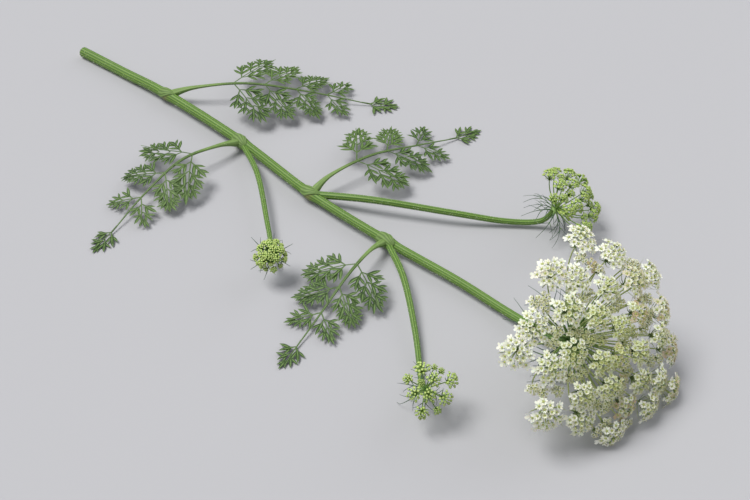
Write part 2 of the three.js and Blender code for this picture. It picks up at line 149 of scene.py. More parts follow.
# The stalks: points in plan from the stalk's node, with heights over the table, and then a straight neck.
MAIN_STALK = dict(
    umbel=BLOOM, neck=14, root=CUT_RADIUS, tip=TOP_RADIUS, samples=260,
    points=(CUT_END, (-178, -1, 3.05), *NODES, (92, 5, 4.2), (125, 5.5, 4.6), (153, 3.4, 10.4)),
)
STALKS = (
    MAIN_STALK,
    dict(
        umbel=GREEN_UMBEL, neck=11, root=2.0, tip=1.4, samples=90, node=NODES[2],
        path=((32, 17, 9.2), (70, 40, 7.6), (94, 58, 3.6), (109, 70, 4.6)),
    ),
    dict(
        umbel=SMALL_UMBEL, neck=9, root=1.8, tip=1.2, samples=90, node=NODES[3],
        path=((26, -16, 8.2), (52, -37, 5.6), (70, -54, 2.9), (77, -61, 4.4)),
    ),
    dict(
        umbel=BUD_UMBEL, neck=10, root=1.6, tip=1.1, samples=90, node=NODES[1],
        path=((30, -15, 8.4), (62, -38, 7.2), (82, -53, 4.6)),
    ),
)

# The whorls of bracts. forks are the shares of a bract's reach at which pairs of side threads leave it.
WHORLS = (
    dict(name="bloom", umbel=BLOOM, count=8, reach=27, fall=17, radius=3.0, seed=5, forks=(0.3, 0.46, 0.62)),
    dict(name="green", umbel=GREEN_UMBEL, count=7, reach=17, fall=11, radius=2.2, seed=6, forks=(0.32, 0.55)),
    dict(name="small", umbel=SMALL_UMBEL, count=6, reach=13, fall=14, radius=1.9, seed=7, forks=(0.45,)),
    dict(name="bud", umbel=BUD_UMBEL, count=6, reach=13, fall=-2, radius=1.6, seed=8, forks=(0.45,)),
)
FALL_AT = (0, 0.2, 0.4, 0.6, 0.78, 0.9, 1.2)  # shares of a bract's reach ...
FALL_BY = (0, 0.02, 0.08, 0.22, 0.42, 0.68, 1.6)  # ... and how much of its fall it has made there

LEAVES = (
    dict(
        name="leaf_1", node=NODES[0], pairs=4, pinna=37, sheath=2.6,
        path=((14, 13, 11), (38, 36, 13), (70, 62, 7), (98, 82, 1)),
    ),
    dict(
        name="leaf_2", node=NODES[1], pairs=3, pinna=33, sheath=2.5,
        path=((-3, -16, 10.5), (-8, -40, 12), (-7, -70, 6), (-2, -97, 1)),
    ),
    dict(
        name="leaf_3", node=NODES[2], pairs=3, pinna=34, sheath=2.4,
        path=((2, 15, 11), (9, 42, 12), (19, 71, 6), (29, 96, 1)),
    ),
    dict(
        name="leaf_4", node=NODES[3], pairs=3, pinna=30, sheath=2.2,
        path=((1, -14, 10), (4, -35, 10), (8, -60, 4.4), (12, -82, 1)),
    ),
)

# Sections that are carried along a path: (across it, above it), anticlockwise.
LOBE_SECTION = np.array([[1, 0.35], [0, 0.04], [-1, 0.35], [0, -0.18]])
STALK_SECTION = np.array([[1, 0.3], [0, 0.45], [-1, 0.3], [0, -0.8]])
MIDRIB = (0.0, 1.0, 0.0, 0.5)  # how much of the midrib's colour a blade's section has at each of its points

# A sheath's cuff: its radius round the stem's middle, and how far it reaches round to either side, in
# radians. Each is a row of shares of its length, and a row of values there.
CUFF_RADIUS = ((0, 0.22, 0.5, 0.8, 1), (3.0, 3.75, 3.95, 3.8, 3.05))
CUFF_REACH = ((0, 0.35, 0.7, 1), (2.8, 2.5, 1.6, 0.8))
STEM_STEPS = 800  # the points on the stem, about half a mm apart, that a cuff is measured in
CUFF_BEFORE, CUFF_PAST = 12, 14  # how many of them it starts before its node, and ends past it
CUFF_SIDES = 55  # the points round it, from edge to edge
CUFF_RISE = 0.6  # a cuff faces up by this where its leaf goes straight sideways by 1

# The sockets that a Mix node uses for colours.
MIX_FACTOR, MIX_UNDER, MIX_OVER, MIX_RESULT = 0, 6, 7, 2

# The stage. Each light is a sun as broad as a softbox: its name, where it shines from, its width in degrees,
# its share of the key light's strength, and its colour.
LIGHTS = (
    ("key", (-0.45, -0.2, 1.0), 30, 1.0, (1.0, 0.98, 0.95)),
    ("rim", (0.3, 1.2, 0.6), 50, 0.25, (0.96, 0.98, 1.0)),
)
SKY_COLOUR = (0.87, 0.87, 0.91, 1)
LOOKED_AT = (50, -13, 12)  # the point that the camera looks at, in mm
FLOOR_HALF = 15.0  # metres
FLOOR_Z = -0.1 * MM


# ------------------------------------------------------------------------------------------------------------
# Numbers and curves


def linear(hex_colour):
    """An sRGB hex colour as three linear values.

    A value c becomes ((c + 0.055) / 1.055) to the power 2.4, or c / 12.92 where it is near black.
    """
    parts = [int(hex_colour[i : i + 2], 16) / 255 for i in (1, 3, 5)]
    return tuple(c / 12.92 if c <= 0.04045 else ((c + 0.055) / 1.055) ** 2.4 for c in parts)


def draws(seed):
    """The Park-Miller generator, which the frame's layout uses too: numbers from 0 to 1."""
    state = seed
    while True:
        state = state * 48271 % 2147483647
        yield state / 2147483647


def unit(vectors):
    """Vectors brought to length 1."""
    return vectors / np.linalg.norm(vectors, axis=-1, keepdims=True)


def soft_floor(height, softness=1.0):
    """A height that levels off near the table: (h + the root of h squared and softness squared) / 2."""
    return (height + np.hypot(height, softness)) / 2


def laid(shape, softness):
    """A shape whose points near the table are levelled off."""
    shape.points[:, 2] = soft_floor(shape.points[:, 2], softness)
    return shape


def spline(points, samples):
    """A uniform Catmull-Rom curve through the points, read at even steps of its length."""
    points = np.asarray(points, float)
    spans = len(points) - 1
    held = np.vstack([2 * points[0] - points[1], points, 2 * points[-1] - points[-2]])
    steps = 60  # from each point to the next
    at = np.linspace(0, spans, steps * spans + 1)
    span = np.minimum(at.astype(int), spans - 1)
    f = (at - span)[:, None]
    a, b, c, d = (held[span + i] for i in range(4))
    dense = b + 0.5 * f * (c - a + f * (2 * a - 5 * b + 4 * c - d + f * (3 * (b - c) + d - a)))
    reached = np.concatenate([[0], np.cumsum(np.linalg.norm(np.diff(dense, axis=0), axis=1))])
    even = np.linspace(0, reached[-1], samples)
    return np.stack([np.interp(even, reached, dense[:, i]) for i in range(3)], 1)


def bezier(start, bend, end, samples):
    """Quadratic Bezier curves, for many starts, bends and ends (N, 3) at once."""
    t = np.linspace(0, 1, samples)[:, None]
    return (1 - t) ** 2 * start[:, None] + 2 * t * (1 - t) * bend[:, None] + t**2 * end[:, None]


def waypoints(grown):
    """A stalk's or leaf's points, which it gives as they are, or as its node and steps in plan from that."""
    if "points" in grown:
        return list(grown["points"])
    x, y, _ = grown["node"]
    return [grown["node"], *((x + dx, y + dy, z) for dx, dy, z in grown["path"])]


# ------------------------------------------------------------------------------------------------------------
# Shapes: points in mm, faces as index arrays, and three marks a point, which the materials read as a colour


class Shape:
    """Points (V, 3), faces as a list of index arrays, and marks (V, 3): tone, blush and the way along."""

    def __init__(self, points, faces, marks):
        self.points = points
        self.faces = faces
        self.marks = marks


def joined(shapes):
    """Several shapes as one, without welding them."""
    starts = np.cumsum([0] + [len(shape.points) for shape in shapes])
    faces = [face + start for shape, start in zip(shapes, starts) for face in shape.faces]
    points = np.concatenate([shape.points for shape in shapes])
    return Shape(points, faces, np.concatenate([shape.marks for shape in shapes]))


def closed(rings, poles, tone=0.0):
    """Rings of points (N, S, K, 3) joined side by side, and closed at a pole at either end.

    The marks are tone, 0 and the share of the way from the first ring to the last.
    """
    n, s, k = rings.shape[:3]
    points = np.concatenate([rings.reshape(n, s * k, 3), poles], 1)
    ring = np.arange(s)[:, None] * k
    this, after = np.arange(k), (np.arange(k) + 1) % k
    corners = (ring + this, ring + after, ring + k + after, ring + k + this)
    sides = np.stack(corners, -1)[: s - 1].reshape(-1, 4)
    first = np.stack([np.full(k, s * k), after, this], -1)
    last = np.stack([np.full(k, s * k + 1), (s - 1) * k + this, (s - 1) * k + after], -1)
    step = np.arange(n)[:, None, None] * (s * k + 2)
    faces = [(sides + step).reshape(-1, 4), (np.concatenate([first, last]) + step).reshape(-1, 3)]
    marks = np.zeros((n, s * k + 2, 3))
    marks[..., 0] = np.reshape(np.broadcast_to(tone, n), (n, 1))
    marks[..., 2] = np.append(np.repeat(np.arange(s) / max(s - 1, 1), k), [0, 1])
    return Shape(points.reshape(-1, 3), faces, marks.reshape(-1, 3))


def frames_along(paths, up=UP):
    """The way that each path (N, S, 3) runs, the direction across it, and the one above it."""
    way = unit(np.gradient(paths, axis=1))
    across = unit(np.cross(np.broadcast_to(up, paths.shape), way))
    return way, across, np.cross(way, across)


def sweep(paths, section, width, height, up=UP, tone=0.0):
    """A section carried along many paths at once.

    A point is the path's, plus x * width across it, plus y * height above it, where (x, y) is the section's
    point. width and height are numbers, or one for each ring of each path.
    """
    _, across, above = frames_along(paths, up)
    size = paths.shape[:2]
    wide = np.broadcast_to(width, size)[..., None] * section[:, 0]
    high = np.broadcast_to(height, size)[..., None] * section[:, 1]
    rings = paths[:, :, None] + across[:, :, None] * wide[..., None] + above[:, :, None] * high[..., None]
    return closed(rings, paths[:, [0, -1]], tone)


def tube(path, radius, angle, squash=1.0, lift=0.0):
    """Rings round one path (S, 3), whose radius and angle may differ at every point (S, K).

    A point lies radius * cos(angle) across the path, and radius * (squash * sin(angle) + lift) above it.
    """
    _, across, above = frames_along(path[None])
    wide = radius * np.cos(angle)
    high = radius * (squash * np.sin(angle) + lift)
    rings = path[:, None] + across[0][:, None] * wide[..., None] + above[0][:, None] * high[..., None]
    return closed(rings[None], path[None][:, [0, -1]])


def angles(sides):
    """Evenly spaced angles round a circle."""
    return np.arange(sides) * TURN / sides


def circle(sides):
    """A unit circle's points, anticlockwise."""
    return np.stack([np.cos(angles(sides)), np.sin(angles(sides))], 1)


def turned(profile, sides, poles=(-1, 1), lobes=0.0):
    """A profile of (radius, height) points turned round the Z axis, between two poles on it.

    Its radius is multiplied by 1 + lobes * cos(5 * angle); lobes is a number, or one for each ring.
    """
    profile = np.asarray(profile, float)
    x, y = circle(sides).T
    out = profile[:, :1] * (1 + np.reshape(lobes, (-1, 1)) * np.cos(PETALS * angles(sides)))
    grid = np.stack([out * x, out * y, np.broadcast_to(profile[:, 1:], out.shape)], -1)
    return closed(grid[None], np.array([[[0, 0, poles[0]], [0, 0, poles[1]]]], float))


def bead(sides, rings):
    """A unit ball: at height angle h, from pole to pole, the radius is sin(h) and the height is -cos(h)."""
    fall = math.pi * np.arange(1, rings + 1) / (rings + 1)
    return turned(np.stack([np.sin(fall), -np.cos(fall)], 1), sides)


def placed(one, origins, x, y, z, tone=0.0, blush=0.0):
    """Copies of a shape.

    A copy's point is its origin plus the shape's point along the copy's own x, y and z.
    """
    n, v = len(origins), len(one.points)
    axes = np.stack([np.broadcast_to(a, (n, 3)) for a in (x, y, z)], 1)
    points = np.asarray(origins)[:, None] + np.einsum("vk,nkd->nvd", one.points, axes)
    step = np.arange(n)[:, None, None] * v
    faces = [(face + step).reshape(-1, face.shape[1]) for face in one.faces]
    marks = np.tile(one.marks, (n, 1, 1))
    marks[..., 0] = np.reshape(np.broadcast_to(tone, n), (n, 1))
    marks[..., 1] = np.reshape(np.broadcast_to(blush, n), (n, 1))
    return Shape(points.reshape(-1, 3), faces, marks.reshape(-1, 3))


def add_piece(name, shape, material, replaced=None, crisp=True):
    """Puts a shape into a mesh object that rides on the frame, and gives it its material."""
    mesh = bpy.data.meshes.new(name)
    corners = np.concatenate([face.reshape(-1) for face in shape.faces]).astype(np.int32)
    sizes = np.concatenate([np.full(len(face), face.shape[1]) for face in shape.faces])
    starts = np.concatenate([[0], np.cumsum(sizes)[:-1]]).astype(np.int32)
    mesh.vertices.add(len(shape.points))
    mesh.vertices.foreach_set("co", (shape.points * MM).astype(np.float32).ravel())
    mesh.loops.add(len(corners))
    mesh.loops.foreach_set("vertex_index", corners)
    mesh.polygons.add(len(sizes))
    mesh.polygons.foreach_set("loop_start", starts)
    mesh.polygons.foreach_set("use_smooth", np.full(len(sizes), True))
    marks = mesh.attributes.new("marks", "FLOAT_COLOR", "POINT")
    rgba = np.concatenate([shape.marks, np.ones((len(shape.marks), 1))], 1)
    marks.data.foreach_set("color", rgba.astype(np.float32).ravel())
    mesh.update(calc_edges=True)
    mesh.validate()
    if crisp:
        mesh.set_sharp_from_angle(angle=CRISP)
    mesh.materials.append(material)
    piece = bpy.data.objects.new(name, mesh)
    bpy.context.scene.collection.objects.link(piece)
    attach(piece, "root")
    if replaced:
        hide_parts(replaced)


# ------------------------------------------------------------------------------------------------------------
# Where things grow. A group of umbellets or florets is a dict of arrays, one entry for each of them


def some_of(group, chosen):
    """The chosen members of a group."""
    return {name: values[chosen] for name, values in group.items()}


def facing(umbel):
    """The way that an umbel faces, with the directions across it: sideways, and down its face."""
    heading, rise = math.radians(umbel["heading"]), math.radians(umbel["rise"])
    flat = math.cos(rise)
    axis = np.array([flat * math.cos(heading), flat * math.sin(heading), math.sin(rise)])
    side = np.array([-math.sin(heading), math.cos(heading), 0.0])
    return axis, side, np.cross(side, axis)


def point_on(umbel, origin, out, turn, along):
    """The origin plus down * out * cos(turn), side * out * sin(turn) and axis * along."""
    axis, side, down = facing(umbel)
    out, turn, along = (np.asarray(a, float)[..., None] for a in (out, turn, along))
    return origin + down * out * np.cos(turn) + side * out * np.sin(turn) + axis * along


def stalk_path(stalk, samples):
    """A stalk's centre line, from its root to the end of its straight neck."""
    points = waypoints(stalk)
    neck_end = np.array(points[-1], float) + facing(stalk["umbel"])[0] * stalk["neck"]
    return spline([*points, neck_end], samples)


def base_of(umbel):
    """The base of an umbel, past the end of its stalk and its whorl of bracts."""
    stalk = next(one for one in STALKS if one["umbel"] is umbel)
    return stalk_path(stalk, 2)[-1] + facing(umbel)[0] * (2 * GAP + WHORL_THICKNESS)


def spiral_of(umbel):
    """The frame's umbellets, as rows of share, turn, out, along and size.

    They follow a golden-angle spiral. share is ((i + 0.5) / count) to the power SPIRAL_POWER, and an umbellet
    lies spread * share out and height - sag * share squared along, with a little chance in all of that.
    """
    draw = draws(umbel["seed"])
    rows = []
    for i in range(umbel["count"]):
        share = ((i + 0.5) / umbel["count"]) ** SPIRAL_POWER
        turn = i * GOLDEN_ANGLE + TURN_CHANCE * (next(draw) - 0.5)
        out = umbel["spread"] * share * (1 + OUT_CHANCE * (next(draw) - 0.5))
        along = umbel["height"] - umbel["sag"] * share**2 + 2 * umbel["ruffle"] * (next(draw) - 0.5)
        full = umbel["inner"] + (umbel["outer"] - umbel["inner"]) * share
        rows.append((share, turn, out, along, full * (1 + SIZE_CHANCE * (next(draw) - 0.5))))
    return rows


def fill_gaps(umbel, rows, infill):
    """Adds small umbellets to the rows, each in the widest gap that is left on the umbel's canopy.

    At a distance out from the axis, the canopy is height - sag * (out / spread) squared along it.
    """
    reach = umbel["within"] * umbel["spread"]
    grid = np.meshgrid(np.linspace(0, reach, GRID_RINGS), np.linspace(0, TURN, GRID_TURNS))
    out, turn = (a.ravel() for a in grid)
    canopy = umbel["height"] - umbel["sag"] * (out / umbel["spread"]) ** 2
    spots = point_on(umbel, base_of(umbel), out, turn, canopy)
    for _ in range(infill):
        _, turns, outs, alongs, sizes = np.array(rows).T
        middles = point_on(umbel, base_of(umbel), outs, turns, alongs)
        room = (np.linalg.norm(spots[:, None] - middles, axis=2) - sizes).min(1)
        best = room.argmax()
        size = float(np.clip(room[best], *umbel["small"]))
        along = canopy[best] - umbel["deeper"]
        rows.append((out[best] / umbel["spread"], turn[best], out[best], along, size))


def umbellets_of(umbel, infill):
    """Every umbellet of an umbel: its share of the way out, turn, size, middle, axis and the way outwards.

    An umbellet leans outwards by lean * share, and is lifted where its rim would reach under the table.
    """
    rows = spiral_of(umbel)
    fill_gaps(umbel, rows, infill)
    share, turn, out, along, size = np.array(rows).T
    lean = (umbel["lean"] * share)[:, None]
    radial = point_on(umbel, 0, np.ones_like(turn), turn, np.zeros_like(turn))
    axis = facing(umbel)[0] * np.cos(lean) + radial * np.sin(lean)
    outwards = radial * np.cos(lean) - facing(umbel)[0] * np.sin(lean)
    middle = point_on(umbel, base_of(umbel), out, turn, along)
    dip = size * np.sqrt(1 - axis[:, 2] ** 2)
    middle[:, 2] = dip + soft_floor(middle[:, 2] - dip) - PRESSED
    return dict(share=share, turn=turn, size=size, middle=middle, axis=axis, outwards=outwards)


def rays_of(umbel, umbellets, sunk):
    """The rays: round curves that leave the base outwards and come up under the umbellets.

    A ray starts 0.3 * share of the base's size out and 0.2 of it along, and ends sunk times the umbellet's
    size under its middle. Its bend is 0.4 of its length straight under that end.
    """
    root = umbel["base"]
    start = point_on(umbel, base_of(umbel), 0.3 * root * umbellets["share"], umbellets["turn"], 0.2 * root)
    end = umbellets["middle"] - umbellets["axis"] * (sunk * umbellets["size"])[:, None]
    bend = end - umbellets["axis"] * 0.4 * np.linalg.norm(end - start, axis=1, keepdims=True)
    taper = np.linspace(1.15, 0.8, 9)
    thick = umbel["ray"] * taper
    return sweep(bezier(start, bend, end, len(taper)), circle(8), thick, thick, up=facing(umbel)[1])


def florets_of(umbellets, each, spread, dome, chance):
    """The florets of every umbellet, on a golden-angle spiral over a low dome.

    A floret lies spread * the root of its share out, and dome * (1 - share squared) up, both times the
    umbellet's size. It leans outwards by FLORET_LEAN times its share of the way out, with a little chance in
    all of that.
    """
    n = len(umbellets["size"])

    def jitter(scale):
        """A little chance for every floret."""
        return chance.normal(0, scale, (n, each))

    i = np.arange(each)
    share = np.sqrt((i + 0.5) / each)
    turn = i * GOLDEN_ANGLE + chance.uniform(0, TURN, n)[:, None]
    turn = (turn + jitter(0.09))[..., None]
    size = umbellets["size"][:, None, None]
    axis, outwards = umbellets["axis"][:, None], umbellets["outwards"][:, None]
    radial = outwards * np.cos(turn) + np.cross(axis, outwards) * np.sin(turn)
    out = (spread * share * (1 + jitter(0.03)))[..., None]
    height = (dome * (1 - share**2) + jitter(0.03))[..., None]
    lean = (FLORET_LEAN * share + jitter(0.1))[..., None]
    florets = dict(
        middle=umbellets["middle"][:, None] + size * (out * radial + height * axis),
        normal=axis * np.cos(lean) + radial * np.sin(lean),
        outwards=radial * np.cos(lean) - axis * np.sin(lean),
        root=umbellets["middle"][:, None] - axis * STALKS_MEET * size,
        spacing=PACKING * spread * size[..., 0] / math.sqrt(each),
        share=share[None],
        umbellet_share=umbellets["share"][:, None],
        umbel_out=outwards,
        warmth=umbellets.get("warmth", np.zeros(n))[:, None],
    )
    for name, value in florets.items():
        rest = value.shape[2:]
        florets[name] = np.broadcast_to(value, (n, each, *rest)).reshape(n * each, *rest)
    florets["side"] = np.cross(florets["normal"], florets["outwards"])
    return florets


# ------------------------------------------------------------------------------------------------------------
# The flower's small parts


def petal_shape():
    """A heart-shaped petal of unit length along +Y, facing +Z, on a narrow claw.

    It is a row of four-sided sections from its left side to its right one. Each reaches from a back edge,
    which is the claw in the middle, to a front edge, which falls back there as the notch between two lobes.
    It is 0.05 thick halfway, and z = 0.5 * x squared + 0.1 * (y - 0.6), so that the petal is cupped and rises
    outwards. It comes to a point on either side. Its third mark is y.
    """
    x = np.array([-0.36, -0.18, 0.0, 0.18, 0.36])[:, None]
    front = np.array([0.95, 1.0, 0.76, 1.0, 0.95])
    back = np.array([0.52, 0.34, 0.08, 0.34, 0.52])
    half = (front + back) / 2
    y = np.stack([front, half, back, half], 1)
    z = 0.5 * x**2 + 0.1 * (y - 0.6) + np.array([0, 0.025, 0, -0.025])
    rings = np.stack([np.broadcast_to(x, y.shape), y, z], -1)
    shape = closed(rings[None], np.array([[[-0.47, 0.75, 0.12], [0.47, 0.75, 0.12]]]))
    shape.marks[:, 2] = shape.points[:, 1]
    return shape


def bud_shape():
    """A bud of unit radius along +Z: a ball whose five lobes deepen towards the top, where it dips in."""
    fall = math.pi * np.array([0.22, 0.45, 0.65, 0.84])
    profile = np.stack([np.sin(fall), -np.cos(fall)], 1)
    return turned(profile, 2 * PETALS, poles=(-1, 0.7), lobes=(0, 0.02, 0.06, 0.16))


def around(florets, turns):
    """The way from each floret's middle at five turns (N, 5) from the way outwards, in its petals' plane."""
    out, side = florets["outwards"][:, None], florets["side"][:, None]
    return out * np.cos(turns)[..., None] + side * np.sin(turns)[..., None]


def petals_on(florets, chance):
    """Five petals a floret, a fifth of a turn apart, from the way outwards on, each tilted up by about cup.

    A petal's length grows by radiance times the cosine of its turn from the way outwards to the power 1.5,
    where that cosine is above 0.
    """
    n = len(florets["middle"])
    turns = TURN * np.arange(PETALS) / PETALS + chance.normal(0, 0.12, (n, 1))
    way, normal = around(florets, turns), florets["normal"][:, None]
    tilt = (florets["cup"][:, None] + chance.normal(0, 0.14, (n, PETALS)))[..., None]
    along = way * np.cos(tilt) + normal * np.sin(tilt)
    above = normal * np.cos(tilt) - way * np.sin(tilt)
    grown = 1 + florets["radiance"][:, None] * np.maximum(np.cos(turns), 0) ** 1.5
    long = (florets["length"][:, None] * grown * (1 + chance.normal(0, 0.07, (n, PETALS))))[..., None]
    x, y, z = (np.reshape(a * long, (-1, 3)) for a in (np.cross(along, above), along, above))
    origins, tone, blush = (np.repeat(florets[name], PETALS, 0) for name in ("middle", "tone", "blush"))
    return placed(petal_shape(), origins, x, y, z, tone, blush)


def stamens_on(florets, chance):
    """Five threads a floret, between its petals, each with an anther at its end, round a nectar disc.

    A thread's reach is 0.55 to 0.85 of a petal's length. It runs from 0.15 of that out to 0.9 of it out and
    0.75 of it up.
    """
    n = len(florets["middle"])
    turns = TURN * (np.arange(PETALS) + 0.5) / PETALS + chance.normal(0, 0.15, (n, PETALS))
    way, normal = around(florets, turns), florets["normal"][:, None]
    middle = florets["middle"][:, None]
    reach = (florets["length"][:, None] * chance.uniform(0.55, 0.85, (n, PETALS)))[..., None]
    ends = middle + way * 0.9 * reach + normal * 0.75 * reach
    paths = np.stack([middle + way * 0.15 * reach, ends], 2).reshape(-1, 2, 3)
    sideways = np.repeat(florets["side"], PETALS, 0)[:, None]
    threads = sweep(paths, circle(3), THREAD_RADIUS, THREAD_RADIUS, up=sideways)
    anthers = placed(bead(4, 1), ends.reshape(-1, 3), *ANTHER, tone=1.0)
    discs = beads_on(florets, lift=0.1, height=0.14, one=bead(6, 2))
    return joined([threads, anthers, discs])


def beads_on(florets, lift, height, one):
    """A bead on each floret's axis, lift mm over its middle.

    It has 0.2 times the florets' spacing as its radius, and height times it as half its height.
    """
    wide, high = (share * florets["spacing"][:, None] for share in (0.2, height))
    out, side, normal = florets["outwards"], florets["side"], florets["normal"]
    origins = florets["middle"] + lift * normal
    return placed(one, origins, out * wide, side * wide, normal * high, tone=0.2)


def pedicels_on(florets, width, samples):
    """The florets' stalks: curves that leave the end of the ray together and come up under each floret.

    They end half the florets' spacing under the floret's middle. Their bend is halfway, pulled down from the
    floret by 0.15 of their length.
    """
    start = florets["root"]
    end = florets["middle"] - florets["normal"] * 0.5 * florets["spacing"][:, None]
    pulled = 0.15 * np.linalg.norm(end - start, axis=1, keepdims=True)
    bend = 0.5 * (start + end) - florets["normal"] * pulled
    return sweep(bezier(start, bend, end, samples), circle(3), width, width, up=florets["side"][:, None])


def bracteoles_under(umbellets, each, chance):
    """The small bracts under every umbellet: narrow blades that leave the ray's end and hug the umbellet."""
    n = len(umbellets["size"])
    turn = (TURN * (np.arange(each) + chance.uniform(-0.2, 0.2, (n, each))) / each)[..., None]
    axis, outwards = umbellets["axis"][:, None], umbellets["outwards"][:, None]
    radial = outwards * np.cos(turn) + np.cross(axis, outwards) * np.sin(turn)
    size = umbellets["size"][:, None, None]
    root = umbellets["middle"][:, None] - axis * BRACTEOLES_GROW * size
    reach = size * chance.uniform(0.75, 1.05, (n, each, 1))
    steps = ((0, 0), (0.4, 0.12), (0.8, 0.4), (1.0, 0.72))
    paths = np.stack([root + (radial * out + axis * up) * reach for out, up in steps], 2).reshape(-1, 4, 3)
    width = np.array([0.3, 0.34, 0.22, 0.05])
    upwards = np.repeat(umbellets["axis"], each, 0)[:, None]
    return sweep(paths, circle(4), width, 0.18 * width, up=upwards)


def dome_of(umbel, share=1.0):
    """The domed base that the rays stand on: a ball, flattened along the umbel's axis to half its width."""
    axis, side, down = facing(umbel)
    root = share * umbel["base"]
    wide, high = 0.92 * root, 0.46 * root
    middle = base_of(umbel) + axis * 0.42 * root
    return placed(bead(16, 7), [middle], down * wide, side * wide, axis * high, tone=1.0)


# ------------------------------------------------------------------------------------------------------------
# The stem


def near_node(points, reach):
    """How near points are to a node: exp(-(distance / reach) squared)."""
    distance = np.linalg.norm(points[:, None] - np.array(NODES), axis=2).min(1)
    return np.exp(-((distance / reach) ** 2))


def stem_tube(stalk, settings):
    """A stalk's surface: its radius is r(s) * (1 + depth / root * cos(ribs * angle)), root being r at s = 0.

    The main stalk swells at each node, and its ribs fade by 0.6 there. A side shoot has two thirds as many.
    """
    samples = stalk["samples"]
    path = stalk_path(stalk, samples)
    main = stalk is MAIN_STALK
    ribs = settings.ribs if main else settings.ribs * 2 // 3
    swell = near_node(path, NODE_REACH) if main else np.zeros(samples)
    radius = np.linspace(stalk["root"], stalk["tip"], samples)
    radius = radius + (NODE_RADIUS - radius) * swell
    sides = SIDES_PER_RIB * ribs
    wave = np.cos(ribs * angles(sides))
    relief = settings.rib_depth / MM / stalk["root"] * wave * (1 - 0.6 * swell[:, None])
    shape = tube(path, radius[:, None] * (1 + relief), angles(sides))
    shape.points[-2] += CUT_DEPTH * unit(path[1] - path[0])
    shape.marks[:-2, 0] = np.tile(0.5 + 0.5 * wave, samples)
    shape.marks[:-2, 1] = np.repeat(swell, sides)
    shape.marks[:, 2] = 0
    return laid(shape, softness=0.3)


def cut_face(tube_of_stem, sides):
    """The stem's cut end: its first ring, drawn in by shares, with a rim that stands over the pale pith.

    Each ring is the middle plus share * (the first ring less the middle), moved out of the stem by a height.
    """
    ring = tube_of_stem.points[:sides][::-1]
    middle = ring.mean(0)
    outwards = unit(np.cross(ring[0] - middle, ring[sides // 4] - middle))
    shares, heights = np.array(CUT_PROFILE).T[..., None, None]
    rings = middle + shares * (ring - middle) + heights * outwards
    return closed(rings[None], np.array([[middle - 0.4 * outwards, middle]]))


def hairs_on(shape, density, length, chance):
    """Bristles on a tube: thin spikes along its normals, leaning a little, so many on each square mm.

    A bristle is 0.5 to 1.4 times length long. Its root, a little under the surface, is a random mixture of
    the four corners of a face, which is picked as often as its area says.
    """
    quads = shape.faces[0]
    corners = shape.points[quads]
    normal = np.cross(corners[:, 2] - corners[:, 0], corners[:, 3] - corners[:, 1])
    area = np.linalg.norm(normal, axis=1) / 2
    count = int(density * area.sum())
    pick = chance.choice(len(quads), count, p=area / area.sum())
    root = np.einsum("nk,nkd->nd", chance.dirichlet(np.ones(4), count), corners[pick])
    way = unit(unit(normal[pick]) + chance.normal(0, 0.3, (count, 3)))
    long = length * chance.uniform(0.5, 1.4, (count, 1))
    keep = (root[:, 2] > LOWEST_HAIR) & (near_node(root, HAIRLESS_REACH) < math.exp(-1))
    root, way, long = root[keep], way[keep], long[keep]
    side = HAIR_RADIUS * unit(np.cross(way, (0.3, 0.2, 1.0)))
    corner = [[1, 0, 0], [-0.5, 0.87, 0], [-0.5, -0.87, 0], [0, 0, 1.0]]
    faces = [np.array([[0, 2, 1], [0, 1, 3], [1, 2, 3], [2, 0, 3]])]
    spike = Shape(np.array(corner), faces, np.zeros((4, 3)))
    return placed(spike, root - way * 0.05, side, np.cross(way, side), way * long)


# ------------------------------------------------------------------------------------------------------------
# Leaves. A set of branches is laid out in plan, as (origin, heading, length, tone) arrays


def offshoots(parents, shares, swings, ratios):
    """Side branches, both ways from each parent.

    A branch starts at share * length along its parent, is turned by swing to either side, and is ratio times
    as long.
    """
    origin, heading, length, tone = parents
    shares, swings, ratios = (np.array(a) for a in (shares, swings, ratios))
    way = np.stack([np.cos(heading), np.sin(heading)], 1)
    start = origin[:, None] + (length[:, None] * shares)[..., None] * way[:, None]
    both = np.stack([heading[:, None] + swings, heading[:, None] - swings], 2)
    return (
        np.repeat(start.reshape(-1, 2), 2, 0),
        both.reshape(-1),
        np.repeat((length[:, None] * ratios).reshape(-1), 2),
        np.repeat(tone, 2 * len(shares)),
    )


def tips_of(branches, start, ratio):
    """The outer stretch of each branch: from a share of its length on, and ratio times as long."""
    origin, heading, length, tone = branches
    way = np.stack([np.cos(heading), np.sin(heading)], 1)
    return origin + way * (start * length)[:, None], heading, ratio * length, tone


def blades(branches, half, taper, section, bend, chance):
    """Narrow blades on branches: half * taper is half the width along each.

    The heading changes evenly by about bend, and the tip rises by up to a tenth of the length, as the square
    of the way along.
    """
    origin, heading, length, tone = branches
    n, samples = len(length), len(taper)
    turn = heading[:, None] + chance.normal(0, bend, (n, 1)) * np.linspace(0, 1, samples)
    step = (length / (samples - 1))[:, None, None] * np.stack([np.cos(turn), np.sin(turn)], -1)
    plan = origin[:, None] + np.cumsum(step, axis=1) - step[:, :1]
    lift = chance.uniform(0, 0.1, (n, 1)) * length[:, None] * np.linspace(0, 1, samples) ** 2
    paths = np.concatenate([plan, lift[..., None]], 2)
    width = np.reshape(np.broadcast_to(half, n), (n, 1)) * taper
    shape = sweep(paths, section, width, width, tone=tone)
    shape.marks[:, 1] = np.tile(np.append(np.tile(MIDRIB, samples), [1, 1]), n)
    return shape


